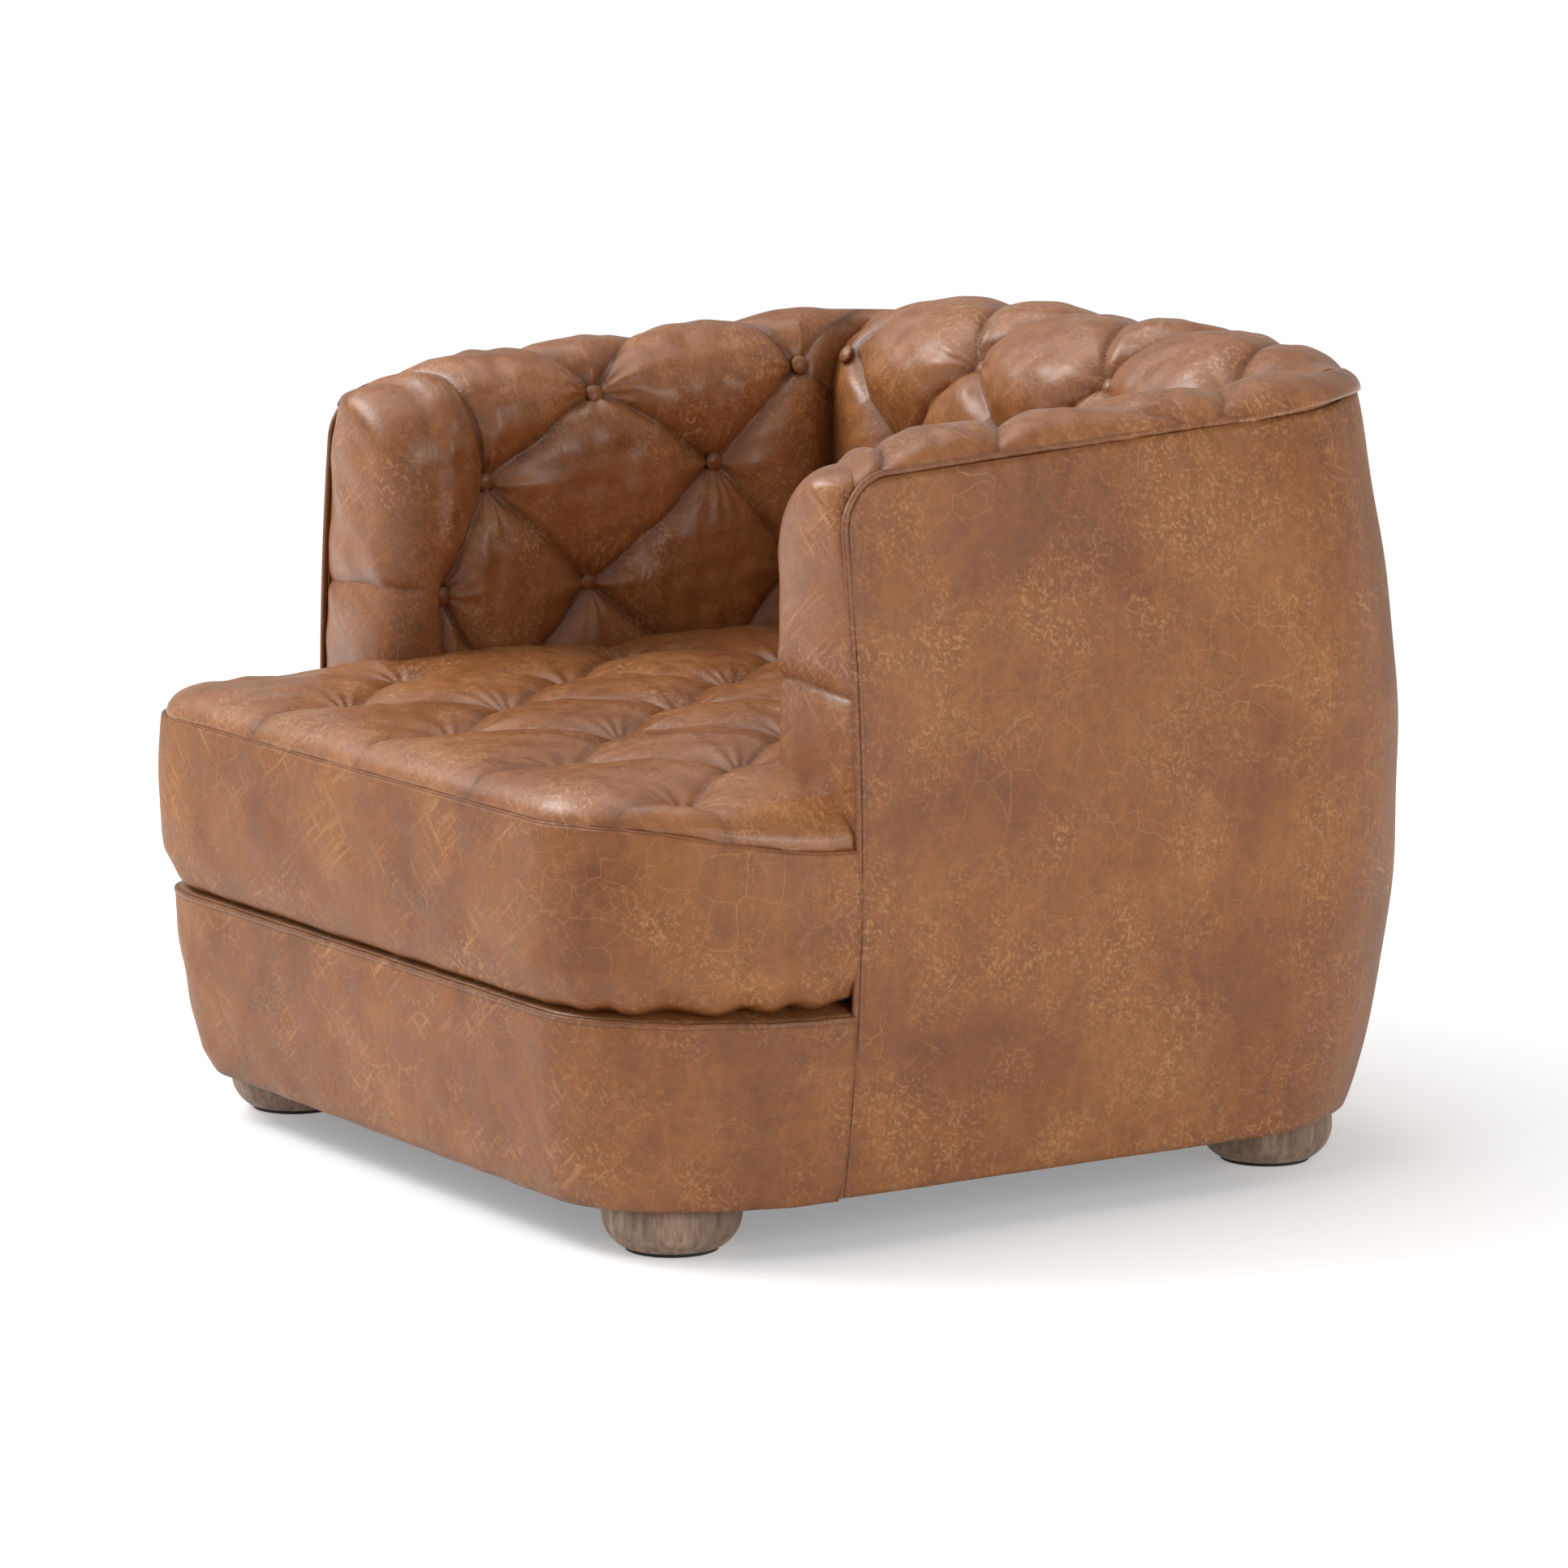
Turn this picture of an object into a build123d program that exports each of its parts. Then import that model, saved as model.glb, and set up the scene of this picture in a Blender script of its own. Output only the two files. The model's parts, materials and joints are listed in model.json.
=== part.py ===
from build123d import *
import os
from math import cos, pi, radians, sin

os.makedirs("parts", exist_ok=True)

# Deep-buttoned club armchair. +Z is up, the sitter faces -Y, the origin is on the floor under the
# middle of the chair. The chair mirrors about the YZ plane; "right" is the +X side.

# Overall form
WIDTH = 972.0                 # widest, across the bellies of the two arms
DEPTH = 979.0                 # seat front to the belly of the outside back
HEM = 50.0                    # floor to the lower edge of the leather
BELLY = 350.0                 # height at which the outside walls stand furthest out
HEM_TUCK = 29.0               # how far the side walls come in from belly to hem
SIDE_TOP_TUCK = 32.0          # the same from belly to the top of the wall
REAR_HEM_TUCK = 45.5          # rear wall, belly to hem
REAR_TOP_TUCK = 40.0          # rear wall, belly to top
WALL_TOP = 700.0              # height at which the top tucks are measured
CORNER_CENTRE = 218.0         # distance of the rear corner's plan centre from the middle
SEAM_ANGLE = 50.0             # where the side panel meets the back panel, round the rear corner

# Arms and back
ARM_FRONT = -235.0            # front edge of the outside arm panel
ARM_INSIDE = 336.0            # inside face of the arm padding
BACK_INSIDE = 262.0           # front face of the back padding
ARM_CROWN = 713.0             # top of the arm at its front
ARM_PIPE = 687.0              # height of the arm's top piping at its front
FRONT_PANEL_BOTTOM = 300.0    # the arm's front panel runs down behind the seat's ear
ARM_RISE = 0.0665             # rise of the arm's top for each mm towards the back
BACK_CROWN = 769.0            # top of the back
BACK_PIPE = 722.0             # height of the back's top piping

# Seat
SEAT_FRONT = -DEPTH / 2
SEAT_SEAM = 396.0             # seam between seat top and boxing band
SEAT_CROWN = 430.0            # top of the seat
BAND_BOTTOM = 235.0           # lower edge of the boxing band
SEAT_EAR_BACK = -248.0        # the seat's side ears end here, in front of the arms
SEAT_EDGE = 30.0              # rounding of the seat's top edge
TONGUE_LAP = 60.0             # how far the part between the arms runs forward into the front part
DECK = 230.0                  # top of the seat deck

# The front corners are quarter ellipses in plan that run back to the arms
CORNER_ACROSS = 150.0

# Front border below the seat
BORDER_TOP = 222.0
BORDER_HEM_FRONT = -453.0     # its front face at the hem
BORDER_TOP_FRONT = -477.0     # its front face at the top
BORDER_BELLY = 4.0            # bulge between those two

# Leather and trim
LEATHER = 2.0
WALL = 4.0                    # outside leather with its backing board
GAP = 1.0                     # clearance between padding and outside walls
PIPE_R = 3.5
BUTTON_R = 9.0
BUTTON_H = 5.0
DIMPLE_DEPTH = 22.0           # how deep a button pulls into the padding
DIMPLE_MOUTH = 38.0
DIMPLE_FLOOR = 12.0
FRONT_EDGE = 5.0              # padding left between the arm's front edge and a dimple

# Timber frame
BOARD = 28.0
RAIL_BOTTOM = 62.0
RAIL_TOP = 212.0
RAIL_SIDE = 450.0             # outer face of the side rails
RAIL_FRONT = -436.0           # front face of the front rail
FRONT_RAIL_END = 355.0        # the rails stop short of the rounded front corners
SIDE_RAIL_FRONT = -246.0
SIDE_RAIL_REAR = 205.0
JOINT_GAP = 1.0               # between the front corner rails and their neighbours
RAIL_REAR = 438.0             # rear face of the rear rail
BLOCK_TOP = 104.0
BLOCK_R = 225.0               # plan radius of the rear corner blocks
POST = 48.0                   # rear post's section
POST_X = 336.0                # rear post's inner faces
POST_Y = 323.0
ARM_BOARD_TOP = 648.0
BACK_BOARD_TOP = 690.0
BOARD_THICK = 26.0

# Feet
FOOT_X = 350.0
FOOT_FRONT_Y = -354.0
FOOT_REAR_Y = 308.0
FOOT_R = 63.4
FOOT_WIDEST = 36.0
FOOT_BASE_R = 46.0
FOOT_TOP_R = 46.0
GLIDE = 4.0
BOLT_R = 4.0
NUT_R = 6.8
NUT_FLANGE_R = 12.0

# Springs
WIRE_R = 1.9
SPRING_COUNT = 5
SPRING_SPACING = 98.0
SPRING_LOOPS = 18
SPRING_LEAD = 14.0            # straight end of each spring, held in its clip
SPRING_WIDTH = 52.0

# Button places: (height, distance from the front face of the arm panel or from the middle)
BACK_BUTTON_SPACING = 215.0
ARM_ROWS = {692.0: (-4.0, 233.0), 606.0: (-137.0, 134.0), 496.0: (-214.0, -12.0, 237.0)}
BACK_HIGH_ROW = 706.0
BACK_LOW_ROW = 612.0


def half_width(z):
    """Half width of the outside walls at height z."""
    if z < BELLY:
        return WIDTH / 2 - HEM_TUCK * ((BELLY - z) / (BELLY - HEM)) ** 2
    return WIDTH / 2 - SIDE_TOP_TUCK * ((z - BELLY) / (WALL_TOP - BELLY)) ** 2


def rear_depth(z):
    """Distance of the rear wall behind the middle at height z."""
    if z < BELLY:
        return DEPTH / 2 - REAR_HEM_TUCK * ((BELLY - z) / (BELLY - HEM)) ** 2
    return DEPTH / 2 - REAR_TOP_TUCK * ((z - BELLY) / (WALL_TOP - BELLY)) ** 2


def arm_line(height, y):
    """Height of a line that rises along the arm from its front."""
    return height + ARM_RISE * (y - ARM_FRONT)


def save(part, name):
    part.label = name
    export_step(part, f"parts/{name}.step")


def save_pair(part, name):
    """Write a right-hand piece and its mirror image."""
    save(part, f"right_{name}")
    save(mirror(part, about=Plane.YZ), f"left_{name}")


def outer_body(inset):
    """Solid inside the outside walls, moved in by inset."""
    with BuildPart() as body:
        for z in (HEM, 140, 240, BELLY, 460, 570, 680, 800):
            half = half_width(z) - inset
            rear = rear_depth(z) - inset
            turn = half_width(z) - CORNER_CENTRE - inset
            diagonal = turn * (1 - sin(pi / 4))
            with BuildSketch(Plane.XY.offset(z)):
                with BuildLine():
                    Line((-half, ARM_FRONT), (-half, rear - turn))
                    ThreePointArc((-half, rear - turn), (-half + diagonal, rear - diagonal),
                                  (-half + turn, rear))
                    Line((-half + turn, rear), (half - turn, rear))
                    ThreePointArc((half - turn, rear), (half - diagonal, rear - diagonal),
                                  (half, rear - turn))
                    Line((half, rear - turn), (half, ARM_FRONT))
                    Line((half, ARM_FRONT), (-half, ARM_FRONT))
                make_face()
        loft()
    return body.part


def box(low, high):
    """Solid box between two corners."""
    with BuildPart() as block:
        with Locations([tuple((a + b) / 2 for a, b in zip(low, high))]):
            Box(*(b - a for a, b in zip(low, high)))
    return block.part


# The vertical plane through the inside corner crease and the outside corner seam
SEAM_X = CORNER_CENTRE + (half_width(WALL_TOP) - CORNER_CENTRE) * cos(radians(SEAM_ANGLE))
SEAM_Y = (rear_depth(WALL_TOP) - half_width(WALL_TOP) + CORNER_CENTRE
          + (half_width(WALL_TOP) - CORNER_CENTRE) * sin(radians(SEAM_ANGLE)))
MITRE = Plane(origin=(ARM_INSIDE, BACK_INSIDE, 0), x_dir=(SEAM_X - ARM_INSIDE, SEAM_Y - BACK_INSIDE, 0),
              z_dir=(SEAM_Y - BACK_INSIDE, ARM_INSIDE - SEAM_X, 0))
LEFT_MITRE = Plane(origin=(-ARM_INSIDE, BACK_INSIDE, 0),
                   x_dir=(ARM_INSIDE - SEAM_X, SEAM_Y - BACK_INSIDE, 0),
                   z_dir=(BACK_INSIDE - SEAM_Y, ARM_INSIDE - SEAM_X, 0))

# Plane along the top edge of the outside arm panels
PIPE_PLANE = Plane(origin=(0, ARM_FRONT, ARM_PIPE - PIPE_R), x_dir=(1, 0, 0), z_dir=(0, -ARM_RISE, 1))


def right_of_mitre(part):
    return split(part, bisect_by=MITRE, keep=Keep.TOP)


def between_mitres(part):
    behind_right = split(part, bisect_by=MITRE, keep=Keep.BOTTOM)
    return split(behind_right, bisect_by=LEFT_MITRE, keep=Keep.BOTTOM)


# ---------------------------------------------------------------- timber frame
with BuildPart() as front_seat_rail:
    with Locations((0, RAIL_FRONT + BOARD / 2, (RAIL_BOTTOM + RAIL_TOP) / 2)):
        Box(2 * FRONT_RAIL_END, BOARD, RAIL_TOP - RAIL_BOTTOM)
save(front_seat_rail.part, "front_seat_rail")

with BuildPart() as rear_seat_rail:
    with Locations((0, RAIL_REAR - BOARD / 2, (RAIL_BOTTOM + RAIL_TOP) / 2)):
        Box(2 * CORNER_CENTRE, BOARD, RAIL_TOP - RAIL_BOTTOM)
save(rear_seat_rail.part, "rear_seat_rail")

save_pair(box((RAIL_SIDE - BOARD, SIDE_RAIL_FRONT, RAIL_BOTTOM), (RAIL_SIDE, SIDE_RAIL_REAR, RAIL_TOP)),
          "seat_rail")

# A short rail across each rear corner stands on the corner block
CORNER_START = CORNER_CENTRE + 2
with BuildPart() as corner_rail:
    with BuildSketch(Plane.XY.offset(BLOCK_TOP)):
        with BuildLine():
            Polyline((412, SIDE_RAIL_REAR), (RAIL_SIDE, SIDE_RAIL_REAR), (CORNER_START, 435),
                     (CORNER_START, 397), (412, SIDE_RAIL_REAR))
        make_face()
    extrude(amount=RAIL_TOP - BLOCK_TOP)
save_pair(corner_rail.part, "corner_rail")

# And one across each front corner, between the ends of the front rail and the side rail
FRONT_RAIL_START = FRONT_RAIL_END + JOINT_GAP
FRONT_RAIL_REAR = SIDE_RAIL_FRONT - JOINT_GAP
with BuildPart() as front_corner_rail:
    with BuildSketch(Plane.XY.offset(BLOCK_TOP)):
        with BuildLine():
            Polyline((FRONT_RAIL_START, -434), (445, FRONT_RAIL_REAR), (404, FRONT_RAIL_REAR),
                     (FRONT_RAIL_START, -398), (FRONT_RAIL_START, -434))
        make_face()
    extrude(amount=RAIL_TOP - BLOCK_TOP)
save_pair(front_corner_rail.part, "front_corner_rail")

BLOCK_FRONT = SIDE_RAIL_REAR + 2
with BuildPart() as right_blocks:
    with BuildSketch(Plane.XY.offset(RAIL_BOTTOM)):
        with BuildLine():
            Line((CORNER_START, BLOCK_FRONT + BLOCK_R), (CORNER_START, 342))
            Line((CORNER_START, 342), (355, BLOCK_FRONT))
            Line((355, BLOCK_FRONT), (CORNER_START + BLOCK_R, BLOCK_FRONT))
            RadiusArc((CORNER_START + BLOCK_R, BLOCK_FRONT), (CORNER_START, BLOCK_FRONT + BLOCK_R),
                      -BLOCK_R)
        make_face()
        with BuildLine():
            Polyline((270, -408), (FRONT_RAIL_END, -408), (405, -365), (432, -290),
                     (432, FRONT_RAIL_REAR), (421.5, FRONT_RAIL_REAR), (421.5, -180), (390, -180),
                     (270, -380), (270, -408))
        make_face()
    extrude(amount=BLOCK_TOP - RAIL_BOTTOM)
    with Locations((FOOT_X, FOOT_FRONT_Y, BLOCK_TOP), (FOOT_X, FOOT_REAR_Y, BLOCK_TOP)):
        CounterBoreHole(radius=NUT_R + 0.2, counter_bore_radius=NUT_FLANGE_R + 0.2, counter_bore_depth=2.2)
with BuildPart() as corner_blocks:
    add(right_blocks.part)
    mirror(about=Plane.YZ)
save(corner_blocks.part, "corner_blocks")

with BuildPart() as rear_post:
    with Locations((POST_X + POST / 2, POST_Y + POST / 2, (BLOCK_TOP + BACK_BOARD_TOP) / 2)):
        Box(POST, POST, BACK_BOARD_TOP - BLOCK_TOP)
    chamfer(rear_post.edges().filter_by(Axis.Z).sort_by(SortBy.DISTANCE)[-1:], length=16)
save_pair(rear_post.part, "rear_post")

FRONT_POST_INSIDE = 358.0
FRONT_POST_Y = ARM_FRONT + 1.2 + LEATHER
front_post = box((FRONT_POST_INSIDE, FRONT_POST_Y, RAIL_TOP),
                 (RAIL_SIDE - 2, FRONT_POST_Y + BOARD, ARM_BOARD_TOP))
save_pair(front_post, "front_post")
inner_walls = outer_body(WALL + GAP)
arm_top_board = box((FRONT_POST_INSIDE, FRONT_POST_Y + BOARD, ARM_BOARD_TOP - BOARD_THICK),
                    (RAIL_SIDE - 2, POST_Y, ARM_BOARD_TOP)) & inner_walls
save_pair(arm_top_board, "arm_top_board")
arm_tack_rail = box((FRONT_POST_INSIDE, FRONT_POST_Y + BOARD, DECK + 4),
                    (FRONT_POST_INSIDE + BOARD, POST_Y, DECK + 32))
save_pair(arm_tack_rail, "arm_tack_rail")
back_top_board = box((-POST_X, POST_Y, BACK_BOARD_TOP - BOARD_THICK), (POST_X, POST_Y + 90, BACK_BOARD_TOP))
save(back_top_board, "back_top_board")
back_tack_rail = box((-POST_X, POST_Y, DECK + 4), (POST_X, POST_Y + BOARD, DECK + 32))
save(back_tack_rail, "back_tack_rail")

# ---------------------------------------------------------------- springs and deck
SPRING_FRONT = RAIL_FRONT + 10
SPRING_LENGTH = RAIL_REAR - 10 - SPRING_FRONT
SPRING_STEP = (SPRING_LENGTH - 2 * SPRING_LEAD) / SPRING_LOOPS
SPRING_Z = RAIL_TOP + WIRE_R + 1.5
SPRING_PLACES = [(SPRING_SPACING * (n - (SPRING_COUNT - 1) / 2), 0, 0) for n in range(SPRING_COUNT)]

with BuildPart() as one_spring:
    zigzag = [(0, SPRING_FRONT, SPRING_Z), (0, SPRING_FRONT + SPRING_LEAD, SPRING_Z)]
    for loop in range(SPRING_LOOPS):
        side = SPRING_WIDTH / 2 * (-1) ** loop
        start = SPRING_FRONT + SPRING_LEAD + loop * SPRING_STEP
        zigzag.append((side, start + 0.3 * SPRING_STEP, SPRING_Z))
        zigzag.append((side, start + 0.7 * SPRING_STEP, SPRING_Z))
    zigzag.append((0, SPRING_FRONT + SPRING_LENGTH - SPRING_LEAD, SPRING_Z))
    zigzag.append((0, SPRING_FRONT + SPRING_LENGTH, SPRING_Z))
    with BuildLine():
        wire = FilletPolyline(*zigzag, radius=6)
    with BuildSketch(Plane(origin=wire @ 0, z_dir=wire % 0)):
        Circle(WIRE_R)
    sweep()
with BuildPart() as seat_springs:
    with Locations(*SPRING_PLACES):
        add(one_spring.part)
save(seat_springs.part, "seat_springs")

CLIP_LENGTH = 12.0
CLIP_WIDTH = 20.0
CLIP_TOP = SPRING_Z + WIRE_R + 1.5
with BuildPart() as spring_clips:
    for y in (SPRING_FRONT + CLIP_LENGTH / 2, SPRING_FRONT + SPRING_LENGTH - CLIP_LENGTH / 2):
        with Locations(*[(x, y, (RAIL_TOP + CLIP_TOP) / 2) for x, _, _ in SPRING_PLACES]):
            Box(CLIP_WIDTH, CLIP_LENGTH, CLIP_TOP - RAIL_TOP)
        with Locations(*[(x, y, SPRING_Z) for x, _, _ in SPRING_PLACES]):
            Box(2 * WIRE_R + 0.6, CLIP_LENGTH, 2 * WIRE_R + 0.6, mode=Mode.SUBTRACT)
save(spring_clips.part, "spring_clips")

with BuildPart() as deck_cloth:
    with BuildSketch(Plane.XY.offset(DECK - 1.5)):
        with Locations((0, (RAIL_FRONT + SIDE_RAIL_REAR) / 2)):
            Rectangle(2 * FRONT_RAIL_END, SIDE_RAIL_REAR - RAIL_FRONT)
        with Locations((0, (SIDE_RAIL_FRONT + SIDE_RAIL_REAR) / 2)):
            Rectangle(2 * RAIL_SIDE - 4, SIDE_RAIL_REAR - SIDE_RAIL_FRONT)
        with Locations((0, (SIDE_RAIL_REAR + POST_Y) / 2)):
            Rectangle(2 * POST_X - 4, POST_Y - SIDE_RAIL_REAR)
        with Locations((FRONT_POST_INSIDE + 50, FRONT_POST_Y + BOARD / 2),
                       (-FRONT_POST_INSIDE - 50, FRONT_POST_Y + BOARD / 2)):
            Rectangle(104, BOARD + 4, mode=Mode.SUBTRACT)
    extrude(amount=1.5)
save(deck_cloth.part, "deck_cloth")

# ---------------------------------------------------------------- seat


def front_curve(half, front, back):
    """Plan curve across the front with elliptical corners that end at the back edge. For a BuildLine."""
    across = CORNER_ACROSS * half / (WIDTH / 2)
    deep = back - front
    EllipticalCenterArc((-half + across, back), across, deep, start_angle=180, arc_size=90)
    Line((-half + across, front), (half - across, front))
    EllipticalCenterArc((half - across, back), across, deep, start_angle=270, arc_size=90)


def front_outline(half, front, back):
    """The front curve closed along its back edge. For a BuildLine."""
    front_curve(half, front, back)
    Line((half, back), (-half, back))


def seat_block(inset):
    """T-shaped tight seat: its ears run out in front of the arms."""
    half = half_width(BELLY) - 1 - inset
    with BuildPart() as block:
        with BuildSketch(Plane.XY.offset(DECK + 1 + inset)):
            with BuildLine():
                front_outline(half, SEAT_FRONT + inset, SEAT_EAR_BACK - inset)
            make_face()
            tongue_rear = BACK_INSIDE - GAP - inset
            tongue_front = SEAT_EAR_BACK - TONGUE_LAP
            with Locations((0, (tongue_front + tongue_rear) / 2)):
                Rectangle(2 * (ARM_INSIDE - GAP - inset), tongue_rear - tongue_front)
        extrude(amount=SEAT_CROWN - DECK - 1 - 2 * inset)
        top_edges = block.edges().group_by(Axis.Z)[-1]
        front_edges = top_edges.filter_by(lambda edge: edge.center().Y < SEAT_EAR_BACK - SEAT_EDGE)
        fillet(front_edges, radius=SEAT_EDGE - inset)
    return block.part


seat_outer = seat_block(0)
seat_inner = seat_block(LEATHER)
save(seat_inner, "seat_foam")
seat_skin = seat_outer - seat_inner
save(split(seat_skin, bisect_by=Plane.XY.offset(SEAT_SEAM), keep=Keep.TOP), "seat_top_cover")
BAND_END = SEAT_EAR_BACK - 6  # the band stops just in front of the arms
with BuildPart() as seat_boxing_band:
    add(seat_skin)
    split(bisect_by=Plane.XY.offset(SEAT_SEAM), keep=Keep.BOTTOM)
    split(bisect_by=Plane.XY.offset(BAND_BOTTOM), keep=Keep.TOP)
    split(bisect_by=Plane.XZ.offset(-BAND_END), keep=Keep.TOP)
save(seat_boxing_band.part, "seat_boxing_band")

# ---------------------------------------------------------------- front border


def border_body(inset):
    """Solid inside the front border's leather, moved in by inset."""
    with BuildPart() as body:
        for part_way in (0, 0.35, 0.7, 1):
            z = HEM + part_way * (BORDER_TOP - HEM)
            half = half_width(z) - inset
            front = (BORDER_HEM_FRONT + part_way * (BORDER_TOP_FRONT - BORDER_HEM_FRONT)
                     - BORDER_BELLY * sin(pi * part_way) + inset)
            with BuildSketch(Plane.XY.offset(z)):
                with BuildLine():
                    front_outline(half, front, SEAT_EAR_BACK)
                make_face()
        loft()
    return body.part


BORDER_PAD = 12.0             # padding left at the hem, where it is thinnest
save(border_body(0) - border_body(LEATHER), "front_border_cover")
with BuildPart() as rail_space:
    with BuildSketch():
        with BuildLine():
            front_outline(half_width(HEM) - BORDER_PAD, BORDER_HEM_FRONT + BORDER_PAD, SEAT_EAR_BACK)
        make_face()
    extrude(amount=SEAT_SEAM)
save(border_body(LEATHER) - rail_space.part, "front_border_pad")

# ---------------------------------------------------------------- piping


def cord_along(path_points, radius_list, radius):
    """Round cord swept along runs joined by tangent arcs."""
    with BuildPart() as cord:
        with BuildLine():
            path = FilletPolyline(*path_points, radius=radius_list)
        with BuildSketch(Plane(origin=path @ 0, z_dir=path % 0)):
            Circle(radius)
        sweep()
    return cord.part


PIPE_X = half_width(ARM_PIPE) - PIPE_R
PIPE_TURN = PIPE_X - CORNER_CENTRE
PIPE_TURN_Y = rear_depth(ARM_PIPE) - half_width(ARM_PIPE) + CORNER_CENTRE
seam_in = PIPE_TURN * sin(radians(SEAM_ANGLE / 2)) / cos(radians(SEAM_ANGLE / 2))
back_in = PIPE_TURN * sin(radians(45 - SEAM_ANGLE / 2)) / cos(radians(45 - SEAM_ANGLE / 2))
corner_end_x = CORNER_CENTRE + PIPE_TURN * cos(radians(SEAM_ANGLE))
corner_end_y = PIPE_TURN_Y + PIPE_TURN * sin(radians(SEAM_ANGLE))
arm_pipe_path = [(half_width(SEAT_SEAM) - PIPE_R, ARM_FRONT - PIPE_R, FRONT_PANEL_BOTTOM),
                 (half_width(480) - PIPE_R, ARM_FRONT - PIPE_R, 480),
                 (PIPE_X, ARM_FRONT - PIPE_R, ARM_PIPE),
                 (PIPE_X, PIPE_TURN_Y + seam_in, arm_line(ARM_PIPE, PIPE_TURN_Y + seam_in)),
                 (corner_end_x, corner_end_y, BACK_PIPE)]
ARM_PIPE_BENDS = [200.0, 30.0, PIPE_TURN * 0.9]  # up the front, at its top corner, round the rear corner
arm_piping = cord_along(arm_pipe_path, ARM_PIPE_BENDS, PIPE_R)
save_pair(arm_piping, "arm_piping")
back_turn_x = corner_end_x - back_in * sin(radians(SEAM_ANGLE))
back_turn_y = PIPE_TURN_Y + PIPE_TURN
PIPE_BUTT = 3.0               # the back piping stops this short of the arm piping
back_pipe_end = (corner_end_x - PIPE_BUTT, corner_end_y + 2.5, BACK_PIPE)
back_pipe_path = [back_pipe_end, (back_turn_x, back_turn_y, BACK_PIPE),
                  (-back_turn_x, back_turn_y, BACK_PIPE), (-back_pipe_end[0], back_pipe_end[1], BACK_PIPE)]
save(cord_along(back_pipe_path, PIPE_TURN * 0.9, PIPE_R), "back_piping")

welt_half = half_width(BORDER_TOP) - PIPE_R
welt_z = BORDER_TOP + PIPE_R + 1
with BuildPart() as front_border_welt:
    with BuildLine(Plane.XY.offset(welt_z)):
        front_curve(welt_half, BORDER_TOP_FRONT + PIPE_R, SEAT_EAR_BACK)
    with BuildSketch(Plane(origin=(-welt_half, SEAT_EAR_BACK, welt_z), z_dir=(0, -1, 0))):
        Circle(PIPE_R)
    sweep()
save(front_border_welt.part, "front_border_welt")

# ---------------------------------------------------------------- arms and back padding
ARM_REAR = 430.0              # the arm sections run on behind the mitre, which cuts them
PAD_BOTTOM = DECK + 3
ARM_SHOULDER = 72.0           # the arm's inside face turns over this far below its crown
BACK_SHOULDER = 80.0
ARM_PAD = 64.0                # padding in front of the frame, arms and back
BACK_PAD = 100.0


def arm_block(inset):
    """Arm padding or its cover's outer form: flat inside face, rounded crown."""
    inner = ARM_INSIDE + inset
    outer = half_width(ARM_PIPE) - WALL
    low = ARM_BOARD_TOP - BOARD_THICK - 20
    with BuildPart() as block:
        for y in (ARM_FRONT + 1 + inset, ARM_REAR):
            crown = arm_line(ARM_CROWN, y) - inset
            pipe = arm_line(ARM_PIPE + PIPE_R, y)
            with BuildSketch(Plane.XZ.offset(-y)):
                with BuildLine():
                    Line((inner, PAD_BOTTOM), (inner, crown - ARM_SHOULDER))
                    ThreePointArc((inner, crown - ARM_SHOULDER), (inner + 20, crown - 18),
                                  (inner + 70, crown))
                    ThreePointArc((inner + 70, crown), (inner + 100, crown - 6), (outer - inset, pipe))
                    Line((outer - inset, pipe), (outer - inset, low))
                    Line((outer - inset, low), (inner + ARM_PAD, low))
                    Line((inner + ARM_PAD, low), (inner + ARM_PAD, PAD_BOTTOM))
                    Line((inner + ARM_PAD, PAD_BOTTOM), (inner, PAD_BOTTOM))
                make_face()
        loft(ruled=True)
    return right_of_mitre(block.part)


def back_block(inset):
    """Back padding or its cover's outer form: flat front face, rounded crown."""
    inner = BACK_INSIDE + inset
    outer = rear_depth(BACK_PIPE) - WALL - inset
    crown = BACK_CROWN - inset
    low = BACK_BOARD_TOP - BOARD_THICK - 24
    with BuildPart() as block:
        with BuildSketch(Plane.YZ.offset(-RAIL_SIDE)):
            with BuildLine():
                Line((inner, PAD_BOTTOM), (inner, crown - BACK_SHOULDER))
                ThreePointArc((inner, crown - BACK_SHOULDER), (inner + 24, crown - 20), (inner + 90, crown))
                ThreePointArc((inner + 90, crown), (inner + 140, crown - 9), (outer, BACK_PIPE + PIPE_R))
                Line((outer, BACK_PIPE + PIPE_R), (outer, low))
                Line((outer, low), (inner + BACK_PAD, low))
                Line((inner + BACK_PAD, low), (inner + BACK_PAD, PAD_BOTTOM))
                Line((inner + BACK_PAD, PAD_BOTTOM), (inner, PAD_BOTTOM))
            make_face()
        extrude(amount=2 * RAIL_SIDE)
    return between_mitres(block.part)


def dimple(place, direction, sink):
    """Cone that a button pulls into the padding, sunk a little further for the foam than the cover.

    It narrows beside the front edge of the arm."""
    mouth = min(DIMPLE_MOUTH, place[1] - ARM_FRONT - FRONT_EDGE)
    plane = Plane(origin=Vector(*place) - Vector(*direction) * (DIMPLE_DEPTH + sink), z_dir=direction)
    with BuildPart() as cone:
        with BuildSketch(plane):
            Circle(DIMPLE_FLOOR)
        with BuildSketch(plane.offset(DIMPLE_DEPTH)):
            Circle(mouth)
        loft()
        with BuildSketch(plane.offset(DIMPLE_DEPTH)):
            Circle(mouth)
        extrude(amount=DIMPLE_MOUTH)
    return cone.part


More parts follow.
